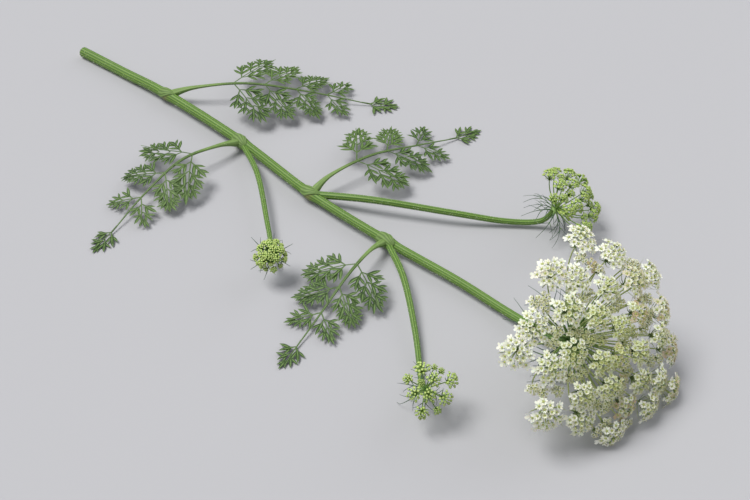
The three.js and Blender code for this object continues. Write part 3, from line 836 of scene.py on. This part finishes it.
def pinnae_of(leaf, curve, chance):
    """The branches that leave a leaf's rachis: pairs that get shorter towards the one at its tip."""
    plan = curve[:, :2]
    ways = np.gradient(plan, axis=0)
    spots = np.column_stack([plan, np.unwrap(np.arctan2(ways[:, 1], ways[:, 0]))])
    pairs = leaf["pairs"]
    pair = np.repeat(np.arange(pairs), 2)
    shares = np.append(0.33 + 0.6 * pair / pairs, 0.95)
    x, y, heading = (np.interp(shares, np.linspace(0, 1, len(curve)), spot) for spot in spots.T)
    swing = 0.95 - 0.05 * pair + chance.normal(0, 0.05, 2 * pairs)
    heading[:-1] += np.tile([1, -1], pairs) * swing
    length = leaf["pinna"] * np.append(1 - 0.62 * pair / pairs, 0.6)
    return np.stack([x, y], 1), heading, length, chance.uniform(0, 1, 2 * pairs + 1)


def leaf_blade(leaf, curve, lobe_width, chance):
    """A leaf's blade, cut three times: pinnae from the rachis, pinnules from them, and lobes from those.

    All of it is laid out in plan, then draped: the height is that of the nearest place on the rachis, less
    DROOP times the squared distance from it, plus a low wave, and it levels off near the table.
    """
    pinnae = pinnae_of(leaf, curve, chance)
    # The longer pinnae have three pairs of pinnules, and the others two.
    rich = pinnae[2] > 0.66 * leaf["pinna"]
    pinnules = offshoots(
        [part[rich] for part in pinnae],
        shares=(0.2, 0.42, 0.63), swings=(0.74, 0.68, 0.6), ratios=(0.38, 0.34, 0.27),
    )
    small_pinnules = offshoots(
        [part[~rich] for part in pinnae], shares=(0.24, 0.53), swings=(0.72, 0.6), ratios=(0.42, 0.34)
    )
    groups = (
        offshoots(pinnules, shares=(0.3, 0.6), swings=(0.74, 0.58), ratios=(0.5, 0.4)),
        offshoots(small_pinnules, shares=(0.38,), swings=(0.66,), ratios=(0.55,)),
        offshoots(pinnae, shares=(0.78,), swings=(0.5,), ratios=(0.18,)),
        tips_of(pinnules, start=0.5, ratio=0.56),
        tips_of(small_pinnules, start=0.45, ratio=0.62),
        tips_of(pinnae, start=0.79, ratio=0.22),
    )
    origin, heading, length, tone = (np.concatenate(part) for part in zip(*groups))
    length = LOBE_LENGTH * (length / USUAL_LOBE) ** LOBE_SPREAD * chance.uniform(0.85, 1.12, len(length))
    half = np.minimum(lobe_width / 2, LOBE_SLENDER * length)
    pointed = (0.3, 0.55, 1, 0.85, 0.12)
    broad = (0.6, 0.8, 0.97, 1, 0.64, 0.08)
    blade = joined([
        blades(pinnae, 0.36, (1, 1, 0.9, 0.8, 0.6), STALK_SECTION, bend=0.08, chance=chance),
        blades(pinnules, 0.9, pointed, LOBE_SECTION, bend=0.05, chance=chance),
        blades(small_pinnules, 0.8, pointed, LOBE_SECTION, bend=0.05, chance=chance),
        blades((origin, heading, length, tone), half, broad, LOBE_SECTION, bend=0.12, chance=chance),
    ])
    x, y = blade.points[:, :2].T
    squared = ((blade.points[:, None, :2] - curve[:, :2]) ** 2).sum(2)
    nearest, squared = squared.argmin(1), squared.min(1)
    wave = 0.9 * np.sin(0.17 * x + leaf["pinna"]) * np.cos(0.15 * y) * np.minimum(np.sqrt(squared) / 12, 1)
    blade.points[:, 2] += soft_floor(curve[nearest, 2] - DROOP * squared + wave, 0.8) + 0.15
    return blade


def petiole(leaf, curve):
    """The leaf's stalk and rachis: a channelled tube that flares at its root, where the stem hides its end.

    The radius is PETIOLE_RADIUS plus sheath * (1 - s) cubed, where s runs from 0 to 1 over the stalk, and it
    narrows evenly along the rachis. The channel lowers the surface by a share of the radius, which is 0.45 *
    exp(-((angle - a quarter turn) / 0.75) squared) and fades at the root. Low ribs run along all of it.
    """
    share = np.linspace(0, 1, len(curve))
    open_part = 1 - np.clip(share / (PETIOLE_SHARE + 0.04), 0, 1)
    narrowing = np.clip((share - PETIOLE_SHARE) / 0.7, 0, 1)
    radius = PETIOLE_RADIUS + leaf["sheath"] * open_part**3 - RACHIS_NARROWS * narrowing
    rounded_root = (0.5, 0.68, 0.86, 0.96)
    radius[: len(rounded_root)] *= rounded_root
    angle = angles(SIDES_PER_RIB * PETIOLE_RIBS)
    channel = np.exp(-(((angle - TURN / 4) / 0.75) ** 2))
    wave = np.cos(PETIOLE_RIBS * angle)
    radius = radius[:, None] * (1 + 0.05 * wave)
    shape = tube(curve, radius, angle, squash=0.9, lift=-0.45 * (1 - open_part[:, None] ** 2) * channel)
    shape.marks[:, 0] = 0.5
    shape.marks[:-2, 1] = (np.minimum(0.76 + 0.8 * open_part, 0.94)[:, None] - 0.1 * wave).ravel()
    shape.marks[:, 2] *= 0.2
    return laid(shape, softness=0.4)


def cuff(leaf):
    """The sheath's cuff: a thin shell that rises out of the stem before the node and sinks in again past it.

    Its radius and how far it reaches round to each side of the leaf change along it, so that its two edges
    run slantwise over the stem. Its ribs add 0.2 * cos(14 * side) squared to the radius, where side runs from
    -1 to 1 round it. It is 0.35 thick, and 0.1 at its edges.
    """
    main = stalk_path(MAIN_STALK, STEM_STEPS)
    centre = np.linalg.norm(main - np.array(leaf["node"]), axis=1).argmin()
    path = main[centre - CUFF_BEFORE : centre + CUFF_PAST : 2]
    u = np.linspace(0, 1, len(path))
    across = frames_along(path[None])[1][0, len(path) // 2, :2]
    leaf_way = unit(np.array(leaf["path"][0][:2], float))
    toward = math.atan2(CUFF_RISE, across @ leaf_way)
    side = np.linspace(-1, 1, CUFF_SIDES)
    reach = np.interp(u, *CUFF_REACH)[:, None]
    ribs = 0.2 * np.cos(14 * side) ** 2
    outer = np.interp(u, *CUFF_RADIUS)[:, None] + ribs
    inner = outer - 0.35 + 0.25 * side**4
    there_and_back = np.append(side, side[::-1])
    shape = tube(path, np.hstack([outer, inner[:, ::-1]]), toward + reach * there_and_back)
    rings = shape.points[:-2].reshape(len(path), -1, 3)
    shape.points[-2:] = rings[[0, -1]].mean(1)
    edges = np.abs(there_and_back) > 0.9
    shape.marks[:-2, 0] = 0.5
    shape.marks[:-2, 1] = np.tile(0.74 + 1.3 * np.append(ribs, ribs[::-1]), len(u))
    shape.marks[:-2, 2] = np.tile(np.where(edges, 1.2, 0.0), len(u))
    return laid(shape, softness=0.4)


# ------------------------------------------------------------------------------------------------------------
# Bracts


def bract_point(whorl, reach, turn, share):
    """A point on a whorl, at a share of its fall, kept clear of the table."""
    top = base_of(whorl["umbel"]) - facing(whorl["umbel"])[0] * GAP
    point = point_on(whorl["umbel"], top, reach, turn, -whorl["fall"] * share - WHORL_THICKNESS / 2)
    point[..., 2] = soft_floor(point[..., 2] - CLEARED) + CLEARED
    return point


def bracts_of(whorl, chance):
    """The turn and reach of every bract: the frame's, and half as many shorter ones among them."""
    draw = draws(whorl["seed"])
    rows = []
    for i in range(whorl["count"]):
        turn = TURN * (i + TURN_CHANCE * (next(draw) - 0.5)) / whorl["count"]
        rows.append((turn, whorl["reach"] * (1 + REACH_CHANCE * (next(draw) - 0.5))))
    extra = whorl["count"] // 2
    for i in range(extra):
        turn = TURN * (i + 0.5) / extra + chance.uniform(-0.1, 0.1)
        rows.append((turn, whorl["reach"] * chance.uniform(0.6, 0.8)))
    return np.array(rows).T[..., None]


def whorl_shape(whorl, chance):
    """A whorl of bracts: threads from a disc that fall back, with side threads that fork from them.

    A bract at share q of its reach has fallen by the share of its fall that FALL_BY gives. A pair of side
    threads leaves it at each of the shares that forks gives, and they swing away from the bract as they go on
    outwards.
    """
    axis, side, down = facing(whorl["umbel"])
    turns, reaches = bracts_of(whorl, chance)
    n = len(turns)
    scale = math.sqrt(whorl["reach"] / WHORLS[0]["reach"])
    q = np.linspace(0, 1, 12)
    start = 0.5 * whorl["radius"] / reaches
    sway = chance.normal(0, 0.06, (n, 1)) * q
    fallen = np.interp(q, FALL_AT, FALL_BY)
    ribs = bract_point(whorl, reaches * (start + (1 - start) * q), turns + sway, fallen)
    broad = scale * np.interp(q, (0, 0.15, 0.35, 1), (1.1, 0.85, 0.42, 0.12))
    thick = scale * 0.25 * (1 - 0.6 * q)
    section = circle(6)
    shapes = [sweep(ribs, section, broad, thick, up=axis, tone=chance.uniform(0, 1, n))]
    t = np.linspace(0, 1, 6)
    for share in whorl["forks"]:
        for way in (-1, 1):
            first = share + chance.normal(0, 0.02, (n, 1))
            q = first + (0.44 - 0.2 * share) * chance.uniform(0.8, 1.15, (n, 1)) * t
            swing = way * (0.54 - 0.2 * share) * chance.uniform(0.8, 1.2, (n, 1)) * t**0.85
            fallen = np.interp(q, FALL_AT, FALL_BY) - 0.05 * t
            paths = bract_point(whorl, reaches * q, turns + swing, fallen)
            width = scale * 0.32 * (1 - 0.65 * t)
            shapes.append(sweep(paths, section, width, 0.65 * width, up=axis, tone=chance.uniform(0, 1, n)))
    middle = base_of(whorl["umbel"]) - axis * (GAP + WHORL_THICKNESS / 2)
    wide, high = whorl["radius"], 0.55 * WHORL_THICKNESS
    disc = placed(bead(16, 5), [middle], down * wide, side * wide, axis * high, tone=0.5)
    disc.marks[:, 2] = 0
    return joined([*shapes, disc])


# ------------------------------------------------------------------------------------------------------------
# Materials


def add_node(tree, kind, settings=(), inputs=()):
    """Adds a node to a tree, sets its properties, and sets or links its inputs."""
    made = tree.nodes.new(kind)
    for name, value in dict(settings).items():
        setattr(made, name, value)
    for name, value in dict(inputs).items():
        if isinstance(value, bpy.types.NodeSocket):
            tree.links.new(value, made.inputs[name])
        else:
            made.inputs[name].default_value = value
    return made


def new_material(name):
    """A material with an empty node tree."""
    material = bpy.data.materials.new(name)
    material.use_nodes = True
    material.node_tree.nodes.clear()
    return material, material.node_tree


def plant_skin(name, layers, roughness, grain, ior=1.43, sheen=0.0, subsurface=0.0, bump=0.0, streaks=1.0):
    """A plant's skin, as a material.

    Each layer is (colour, mark, low, high): the colour covers what is under it as one of the piece's marks
    goes from low to high. The first layer is a colour alone. Noise lightens and darkens it, as the cells of a
    living surface do: grain is the size of its spots in mm and their strength, and streaks below 1 draw them
    out along X, as the stem runs. bump is how strongly it also raises them, by up to 0.2 mm.
    """
    material, tree = new_material(name)
    marks = add_node(tree, "ShaderNodeAttribute", {"attribute_name": "marks"})
    split = add_node(tree, "ShaderNodeSeparateColor", inputs={"Color": marks.outputs["Color"]})
    place = add_node(tree, "ShaderNodeTexCoord")
    drawn = {"Vector": place.outputs["Object"], "Scale": (streaks, 1, 1)}
    stretched = add_node(tree, "ShaderNodeMapping", inputs=drawn)
    size, strength = grain
    spots = {"Vector": stretched.outputs[0], "Scale": 1 / (size * MM), "Detail": 3.0}
    noise = add_node(tree, "ShaderNodeTexNoise", inputs=spots).outputs["Fac"]
    sources = dict(zip(("tone", "blush", "along"), split.outputs))
    colour = (*layers[0], 1)
    for tint, mark, low, high in layers[1:]:
        span = {"Value": sources[mark], "From Min": low, "From Max": high}
        share = add_node(tree, "ShaderNodeMapRange", {"interpolation_type": "SMOOTHSTEP"}, span)
        blend = {MIX_FACTOR: share.outputs[0], MIX_UNDER: colour, MIX_OVER: (*tint, 1)}
        colour = add_node(tree, "ShaderNodeMix", {"data_type": "RGBA"}, blend).outputs[MIX_RESULT]
    span = {"Value": noise, "To Min": 1 - strength, "To Max": 1 + strength}
    value = add_node(tree, "ShaderNodeMapRange", inputs=span).outputs[0]
    grained = add_node(tree, "ShaderNodeHueSaturation", inputs={"Color": colour, "Value": value})
    skin = {
        "Base Color": grained.outputs[0], "Roughness": roughness, "IOR": ior, "Sheen Weight": sheen,
        "Subsurface Weight": subsurface, "Subsurface Scale": MM,
    }
    if bump:
        relief = {"Strength": bump, "Distance": 0.2 * MM, "Height": noise}
        skin["Normal"] = add_node(tree, "ShaderNodeBump", inputs=relief).outputs[0]
    shader = add_node(tree, "ShaderNodeBsdfPrincipled", inputs=skin)
    add_node(tree, "ShaderNodeOutputMaterial", inputs={"Surface": shader.outputs[0]})
    return material


# ------------------------------------------------------------------------------------------------------------
# Settings


def a_colour(name, description, hex_colour):
    """A colour that the user can change, with its default from an sRGB hex value."""
    return bpy.props.FloatVectorProperty(
        name=name, description=description, subtype="COLOR", size=3, min=0, max=1, default=linear(hex_colour)
    )


def a_length(name, description, millimetres):
    """A length that the user can change, with its default in mm."""
    return bpy.props.FloatProperty(
        name=name, description=description, unit="LENGTH", min=0, precision=5, default=millimetres * MM
    )


def a_count(name, description, default, **limits):
    """A whole number that the user can change."""
    return bpy.props.IntProperty(name=name, description=description, default=default, **limits)


def a_number(name, description, default, **limits):
    """A number that the user can change."""
    return bpy.props.FloatProperty(name=name, description=description, default=default, **limits)


class StemSettings(bpy.types.PropertyGroup):
    """The stem and its bristles."""

    ribs: a_count("Ribs", "Ribs round the stem", 12, min=6, max=24)
    rib_depth: a_length("Rib depth", "Half the height of a rib", 0.16)
    hairs: a_number("Bristles", "Bristles on a square millimetre of stem", 0.6, min=0)
    hair_length: a_length("Bristle length", "How long a bristle is", 0.8)
    furrow_colour: a_colour("Furrows", "Colour between the ribs", "#7a9a48")
    rib_colour: a_colour("Ribs", "Colour of the ribs", "#476d2c")
    node_colour: a_colour("Nodes", "Tint of the nodes", "#8a7a58")
    pith_colour: a_colour("Pith", "Colour of the cut end", "#dfe0bd")
    hair_colour: a_colour("Bristles", "Colour of the bristles", "#dfe6cc")


class LeafSettings(bpy.types.PropertyGroup):
    """The leaves."""

    lobe_width: a_length("Lobe width", "The widest that a leaf's pointed lobes are", 2.5)
    leaf_colour: a_colour("Leaf", "Colour of the blades", "#344e24")
    light_colour: a_colour("Light leaf", "Colour of the lighter pinnae", "#4c6631")
    tip_colour: a_colour("Tips", "Colour of the lobes' tips and the sheath's edges", "#60784a")
    vein_colour: a_colour("Veins", "Colour of midribs and stalks", "#7c9956")


class BloomSettings(bpy.types.PropertyGroup):
    """The open umbel."""

    florets: a_count("Florets", "Florets in a large umbellet", 21, min=5)
    infill: a_count("Small umbellets", "Umbellets that fill the gaps between large ones", 44, min=0)
    infill_florets: a_count("Their florets", "Florets in a small umbellet", 11, min=4)
    radiance: a_number("Radiance", "How much longer the outermost petals are", 1.25, min=0, max=3)
    petal_colour: a_colour("Petals", "Colour of the rim's petals", "#f6f6e6")
    inner_colour: a_colour("Inner petals", "Colour of the middle's petals", "#c6d18b")
    blush_colour: a_colour("Blush", "Tint of a few umbellets", "#c8b08c")
    claw_colour: a_colour("Claws", "Colour of the petals' narrow ends", "#bcc888")
    disc_colour: a_colour("Discs", "Colour of the nectar discs", "#b3bb66")
    anther_colour: a_colour("Anthers", "Colour of the pollen", "#e3dcae")
    ray_colour: a_colour("Rays", "Colour of the rays", "#b3bf78")
    root_colour: a_colour("Ray roots", "Colour where the rays grow", "#648f40")
    dome_colour: a_colour("Dome", "Colour of the umbel's base", "#4c7a34")


class BudSettings(bpy.types.PropertyGroup):
    """The younger umbels."""

    buds: a_count("Buds", "Buds in an umbellet", 18, min=5)
    shaded_colour: a_colour("Shaded buds", "Colour low on the buds", "#6f9338")
    bud_colour: a_colour("Buds", "Colour of the buds", "#a6c45e")
    tip_colour: a_colour("Tips", "Colour of the buds' tips", "#cfdc92")
    ray_colour: a_colour("Rays", "Colour of the rays", "#7fa04a")
    dome_colour: a_colour("Dome", "Colour of the umbel's base", "#55803a")


class BractSettings(bpy.types.PropertyGroup):
    """The whorls of bracts."""

    bract_colour: a_colour("Bracts", "Colour of the bracts", "#48624a")
    dark_colour: a_colour("Dark bracts", "Colour of the darker bracts", "#384c44")
    root_colour: a_colour("Roots", "Colour where the bracts grow", "#8fae66")


class StageSettings(bpy.types.PropertyGroup):
    """The floor, the lights and the camera."""

    floor_colour: a_colour("Floor", "Colour of the floor", "#b5b6ba")
    key: a_number("Key light", "Strength of the main light", 2.85, min=0)
    sky: a_number("Sky", "Strength of the light all round", 0.4, min=0)
    azimuth: a_number("Azimuth", "How far round the camera stands", math.radians(42), subtype="ANGLE")
    elevation: a_number("Elevation", "How far the camera looks down", math.radians(48), subtype="ANGLE")
    distance: a_length("Distance", "From the camera to the flower", 555)
    lens: a_number("Lens", "Focal length in mm", 50, min=10)


class FlowerSettings(bpy.types.PropertyGroup):
    """Everything that a user would change."""

    stem: bpy.props.PointerProperty(type=StemSettings)
    leaf: bpy.props.PointerProperty(type=LeafSettings)
    bloom: bpy.props.PointerProperty(type=BloomSettings)
    bud: bpy.props.PointerProperty(type=BudSettings)
    bract: bpy.props.PointerProperty(type=BractSettings)
    stage: bpy.props.PointerProperty(type=StageSettings)


# ------------------------------------------------------------------------------------------------------------
# Operators


class FLOWER_OT_stem(bpy.types.Operator):
    """Adds the ribbed stem with its side shoots and its cut end"""

    bl_idname = "flower.stem"
    bl_label = "Stem"

    def execute(self, context):
        stem = context.scene.flower.stem
        # A fresh green stem: slightly waxy ribs, darker than the furrows between them, and a pale moist pith.
        skin = plant_skin(
            "fresh_ribbed_stem",
            [
                stem.furrow_colour,
                (stem.rib_colour, "tone", 0.1, 0.9),
                (stem.node_colour, "blush", 0.3, 1.6),
                (stem.pith_colour, "along", 0.3, 0.9),
            ],
            roughness=0.5, grain=(4.2, 0.16), ior=1.37, bump=0.4, streaks=0.25,
        )
        tubes = [stem_tube(stalk, stem) for stalk in STALKS]
        shape = joined([*tubes, cut_face(tubes[0], SIDES_PER_RIB * stem.ribs)])
        add_piece("ribbed_stem", shape, skin, "stem")
        return {"FINISHED"}


class FLOWER_OT_leaves(bpy.types.Operator):
    """Adds the finely cut leaves, each with its channelled stalk and the cuff that clasps the stem"""

    bl_idname = "flower.leaves"
    bl_label = "Leaves"

    def execute(self, context):
        settings = context.scene.flower.leaf
        # A thin leaf: matt and dark above, with paler midribs, stalks and tips.
        skin = plant_skin(
            "fresh_leaf",
            [
                settings.leaf_colour,
                (settings.light_colour, "tone", 0.1, 1.3),
                (settings.tip_colour, "along", 0.7, 1.15),
                (settings.vein_colour, "blush", 0.56, 1.05),
            ],
            roughness=0.55, grain=(2.4, 0.2), ior=1.37, bump=0.5,
        )
        for i, leaf in enumerate(LEAVES):
            curve = spline(waypoints(leaf), LEAF_SAMPLES)
            blade = leaf_blade(leaf, curve, settings.lobe_width / MM, np.random.default_rng(LEAF_SEED + i))
            shape = joined([blade, petiole(leaf, curve), cuff(leaf)])
            add_piece(leaf["name"] + "_cut", shape, skin, leaf["name"])
        return {"FINISHED"}


class FLOWER_OT_bristles(bpy.types.Operator):
    """Adds the bristles on the stem, its shoots and the leaves' stalks"""

    bl_idname = "flower.bristles"
    bl_label = "Bristles"

    def execute(self, context):
        stem = context.scene.flower.stem
        chance = np.random.default_rng(HAIR_SEED)
        # Bristles: pale, dry and stiff, so they only lighten the stem's outline.
        skin = plant_skin("pale_bristles", [stem.hair_colour], roughness=0.6, grain=(1.1, 0.1))
        size = stem.hair_length / MM
        hairs = [hairs_on(stem_tube(stalk, stem), stem.hairs, size, chance) for stalk in STALKS]
        # A leaf's stalk has half as many, and they are shorter.
        for leaf in LEAVES:
            stalk = petiole(leaf, spline(waypoints(leaf), LEAF_SAMPLES))
            hairs.append(hairs_on(stalk, 0.5 * stem.hairs, 0.8 * size, chance))
        add_piece("stem_bristles", joined(hairs), skin)
        return {"FINISHED"}


class FLOWER_OT_bloom(bpy.types.Operator):
    """Adds the open umbel: florets with heart-shaped petals and stamens, on their stalks and rays"""

    bl_idname = "flower.bloom"
    bl_label = "Open umbel"

    def execute(self, context):
        settings = context.scene.flower.bloom
        chance = np.random.default_rng(BLOOM_SEED)
        umbellets = umbellets_of(BLOOM, settings.infill)
        total = len(umbellets["size"])
        # The fifth power leaves most umbellets with hardly any tint.
        umbellets["warmth"] = chance.uniform(0, 1, total) ** 5
        umbellets["warmth"][WARM_UMBELLETS] = WARM_BY
        large = np.arange(total) < BLOOM["count"]
        groups = (
            ("bloom_petals", large, settings.florets, 0.78, 0.2),
            ("bloom_inner_petals", ~large, settings.infill_florets, 0.8, 0.25),
        )
        florets = {
            name: florets_of(some_of(umbellets, chosen), each, spread, dome, chance)
            for name, chosen, each, spread, dome in groups
        }
        # Thin petals: matt and cream-white, greener towards the umbel's middle, with light glowing through.
        petal = plant_skin(
            "cream_petal",
            [
                settings.petal_colour,
                (settings.inner_colour, "tone", 0.0, 1.0),
                (settings.blush_colour, "blush", 0.1, 1.0),
                (settings.claw_colour, "along", 0.5, 0.0),
            ],
            roughness=0.6, grain=(1.7, 0.06), ior=1.37, sheen=0.2, subsurface=0.12,
        )
        # Nectar discs and pollen: a moist yellow-green, and matt pale grains.
        nectar = plant_skin(
            "nectar_disc_and_pollen",
            [settings.disc_colour, (settings.anther_colour, "tone", 0.3, 0.8)],
            roughness=0.5, grain=(1.2, 0.12),
        )
        # Rays and the florets' stalks: smooth and round, paler the further they are from the umbel's base.
        ray = plant_skin(
            "pale_green_ray",
            [
                settings.root_colour,
                (settings.ray_colour, "along", 0.0, 0.6),
                (settings.dome_colour, "tone", 0.3, 1.0),
            ],
            roughness=0.5, grain=(2.0, 0.15), sheen=0.1,
        )
        stamens, stalks = [], []
        for name, some in florets.items():
            self.dress(some, settings.radiance, chance)
            petals = laid(petals_on(some, chance), softness=0.5)
            add_piece(name, petals, petal, "bloom")
            stamens.append(stamens_on(some, chance))
            ovaries = beads_on(some, lift=-0.6, height=0.3, one=bead(5, 2))
            stalks += [pedicels_on(some, width=0.13, samples=4), ovaries]
        stalks.append(rays_of(BLOOM, umbellets, sunk=STALKS_MEET))
        stalks += [bracteoles_under(umbellets, each=7, chance=chance), dome_of(BLOOM)]
        add_piece("bloom_stamens", laid(joined(stamens), softness=0.5), nectar, crisp=False)
        add_piece("bloom_rays", laid(joined(stalks), softness=0.5), ray, crisp=False)
        return {"FINISHED"}

    def dress(self, florets, radiance, chance):
        """Gives each floret its petals' length, radiance, cup, tone and blush, from where it stands.

        Petals are longer and lie flatter towards an umbellet's rim, radiate most where that rim faces out of
        the umbel, and are greener towards the umbel's middle. share is the way out from the umbellet's middle
        and umbellet_share from the umbel's. length is (0.46 + 0.14 * share) times the florets' spacing, and
        cup is 0.5 - 0.45 * share, in radians.
        """
        n = len(florets["share"])
        share, umbellet_share = florets["share"], florets["umbellet_share"]
        toward = np.einsum("nd,nd->n", florets["outwards"], florets["umbel_out"])
        florets["length"] = florets["spacing"] * (0.46 + 0.14 * share)
        outer = share**2 * (0.45 + 0.55 * umbellet_share) * (0.7 + 0.5 * np.maximum(toward, 0))
        florets["radiance"] = radiance * outer
        florets["cup"] = 0.5 - 0.45 * share
        tone = np.clip(1.1 - 0.75 * umbellet_share - 0.45 * share, 0, 1)
        florets["tone"] = np.clip(tone + chance.normal(0, 0.1, n), 0, 1)
        florets["blush"] = np.clip(florets["warmth"] * chance.uniform(0.0, 1.4, n), 0, 1)


class FLOWER_OT_side_umbels(bpy.types.Operator):
    """Adds the younger umbels: rays and bracteoles under half-open florets, or under closed buds"""

    bl_idname = "flower.side_umbels"
    bl_label = "Younger umbels"

    def execute(self, context):
        settings = context.scene.flower.bud
        # Buds and half-open florets: lime green and waxy, and paler at the tips of the petals.
        bud = plant_skin(
            "lime_bud",
            [
                settings.shaded_colour,
                (settings.bud_colour, "along", 0.1, 0.6),
                (settings.tip_colour, "along", 0.7, 1.1),
            ],
            roughness=0.45, grain=(1.4, 0.12), sheen=0.1, subsurface=0.05,
        )
        # Young rays: smooth, round and of an even green.
        ray = plant_skin(
            "young_ray",
            [settings.ray_colour, (settings.dome_colour, "tone", 0.3, 1.0)],
            roughness=0.5, grain=(2.0, 0.15),
        )
        for i, umbel in enumerate(YOUNGER_UMBELS):
            chance = np.random.default_rng(BUD_SEED + i)
            umbellets = umbellets_of(umbel, umbel["infill"])
            florets = florets_of(umbellets, settings.buds, spread=0.84, dome=0.45, chance=chance)
            buds = self.buds_on(florets, umbel["opened"], chance)
            add_piece(umbel["name"] + "_buds", buds, bud, umbel["name"], crisp=False)
            stalks = joined([
                rays_of(umbel, umbellets, sunk=0.5),
                pedicels_on(florets, width=0.14, samples=3),
                bracteoles_under(umbellets, each=6, chance=chance),
                dome_of(umbel, umbel["dome"]),
            ])
            add_piece(umbel["name"] + "_rays", stalks, ray, crisp=False)
        return {"FINISHED"}

    def buds_on(self, florets, opened, chance):
        """A bud on every floret, and petals that stand up round it where it has opened.

        A floret's size is about the florets' spacing. Its bud's radius is (0.5 - 0.16 * opened) times that,
        and its petals' length 0.68 * opened times that. They lie flatter towards the umbellet's rim.
        """
        size = florets["spacing"] * chance.uniform(0.85, 1.15, len(florets["spacing"]))
        radius = 0.5 - 0.16 * opened
        x, y, z = (florets[name] * radius * size[:, None] for name in ("outwards", "side", "normal"))
        buds = placed(bud_shape(), florets["middle"], x, y, 0.95 * z)
        if not opened:
            return buds
        florets["middle"] = florets["middle"] - 0.12 * florets["normal"] * size[:, None]
        florets["length"] = 0.68 * opened * size
        florets["radiance"] = 0.3 * florets["share"] ** 2
        florets["cup"] = 0.95 - 0.3 * florets["share"]
        florets["tone"] = florets["blush"] = np.zeros(len(size))
        return joined([buds, petals_on(florets, chance)])


class FLOWER_OT_bracts(bpy.types.Operator):
    """Adds the whorls of thread-like forked bracts under the umbels"""

    bl_idname = "flower.bracts"
    bl_label = "Bracts"

    def execute(self, context):
        settings = context.scene.flower.bract
        # Bracts: a bluish dark green, matt, and paler where they broaden at the root.
        skin = plant_skin(
            "thread_bract",
            [
                settings.bract_colour,
                (settings.dark_colour, "tone", 0.2, 1.2),
                (settings.root_colour, "along", 0.3, 0.0),
            ],
            roughness=0.55, grain=(2.0, 0.15),
        )
        for i, whorl in enumerate(WHORLS):
            name = whorl["name"]
            shape = whorl_shape(whorl, np.random.default_rng(BRACT_SEED + i))
            add_piece(name + "_bracts", shape, skin, name + "_involucre", crisp=False)
        return {"FINISHED"}


class FLOWER_OT_stage(bpy.types.Operator):
    """Adds a plain pale floor, soft studio lights and the camera"""

    bl_idname = "flower.stage"
    bl_label = "Stage"

    def execute(self, context):
        settings = context.scene.flower.stage
        scene = context.scene
        # Matt card: an even pale grey without a gloss.
        card, tree = new_material("matt_card")
        look = {"Base Color": (*settings.floor_colour, 1), "Roughness": 0.85, "IOR": 1.33}
        shader = add_node(tree, "ShaderNodeBsdfPrincipled", inputs=look)
        add_node(tree, "ShaderNodeOutputMaterial", inputs={"Surface": shader.outputs[0]})
        corners = [(x * FLOOR_HALF, y * FLOOR_HALF, FLOOR_Z) for x, y in ((-1, -1), (1, -1), (1, 1), (-1, 1))]
        mesh = bpy.data.meshes.new("floor")
        mesh.from_pydata(corners, [], [(0, 1, 2, 3)])
        mesh.materials.append(card)
        floor = bpy.data.objects.new("floor", mesh)
        scene.collection.objects.link(floor)

        for name, way, width, share, colour in LIGHTS:
            light = bpy.data.lights.new(name, "SUN")
            light.angle = math.radians(width)
            light.energy = share * settings.key
            light.color = colour
            lamp = bpy.data.objects.new(name, light)
            lamp.location = way
            lamp.rotation_euler = Vector(way).to_track_quat("Z", "Y").to_euler()
            scene.collection.objects.link(lamp)
        world = bpy.data.worlds.new("soft_room")
        world.use_nodes = True
        sky = world.node_tree.nodes["Background"]
        sky.inputs["Color"].default_value = SKY_COLOUR
        sky.inputs["Strength"].default_value = settings.sky
        scene.world = world

        around_by, down_by = settings.azimuth, settings.elevation
        flat = math.cos(down_by)
        way = Vector((math.sin(around_by) * flat, -math.cos(around_by) * flat, math.sin(down_by)))
        view = bpy.data.cameras.new("camera")
        view.lens = settings.lens
        camera = bpy.data.objects.new("camera", view)
        camera.location = Vector(LOOKED_AT) * MM + way * settings.distance
        camera.rotation_euler = way.to_track_quat("Z", "Y").to_euler()
        scene.collection.objects.link(camera)
        scene.camera = camera
        scene.view_settings.view_transform = "Standard"
        return {"FINISHED"}


class FLOWER_PT_panel(bpy.types.Panel):
    """Lists the flower's operators and settings"""

    bl_idname = "FLOWER_PT_panel"
    bl_label = "Queen Anne's Lace"
    bl_space_type = "VIEW_3D"
    bl_region_type = "UI"
    bl_category = "Flower"

    def draw(self, context):
        flower = context.scene.flower
        for operator in OPERATORS:
            self.layout.operator(operator.bl_idname)
        for group in (flower.stem, flower.leaf, flower.bloom, flower.bud, flower.bract, flower.stage):
            box = self.layout.box()
            for name in group.__annotations__:
                box.prop(group, name)


OPERATORS = (
    FLOWER_OT_stem,
    FLOWER_OT_leaves,
    FLOWER_OT_bristles,
    FLOWER_OT_bloom,
    FLOWER_OT_side_umbels,
    FLOWER_OT_bracts,
    FLOWER_OT_stage,
)
GROUPS = (StemSettings, LeafSettings, BloomSettings, BudSettings, BractSettings, StageSettings)
CLASSES = (*GROUPS, FlowerSettings, *OPERATORS, FLOWER_PT_panel)


def register():
    """Registers the classes, and puts the settings on the scene."""
    for one in CLASSES:
        bpy.utils.register_class(one)
    bpy.types.Scene.flower = bpy.props.PointerProperty(type=FlowerSettings)


def unregister():
    """Undoes what register() does, in the reverse order."""
    del bpy.types.Scene.flower
    for one in reversed(CLASSES):
        bpy.utils.unregister_class(one)


def main():
    """Builds the flower and its stage."""
    register()
    bpy.ops.flower.stem()
    bpy.ops.flower.leaves()
    bpy.ops.flower.bristles()
    bpy.ops.flower.bloom()
    bpy.ops.flower.side_umbels()
    bpy.ops.flower.bracts()
    bpy.ops.flower.stage()
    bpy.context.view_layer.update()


if __name__ == "__main__":
    main()
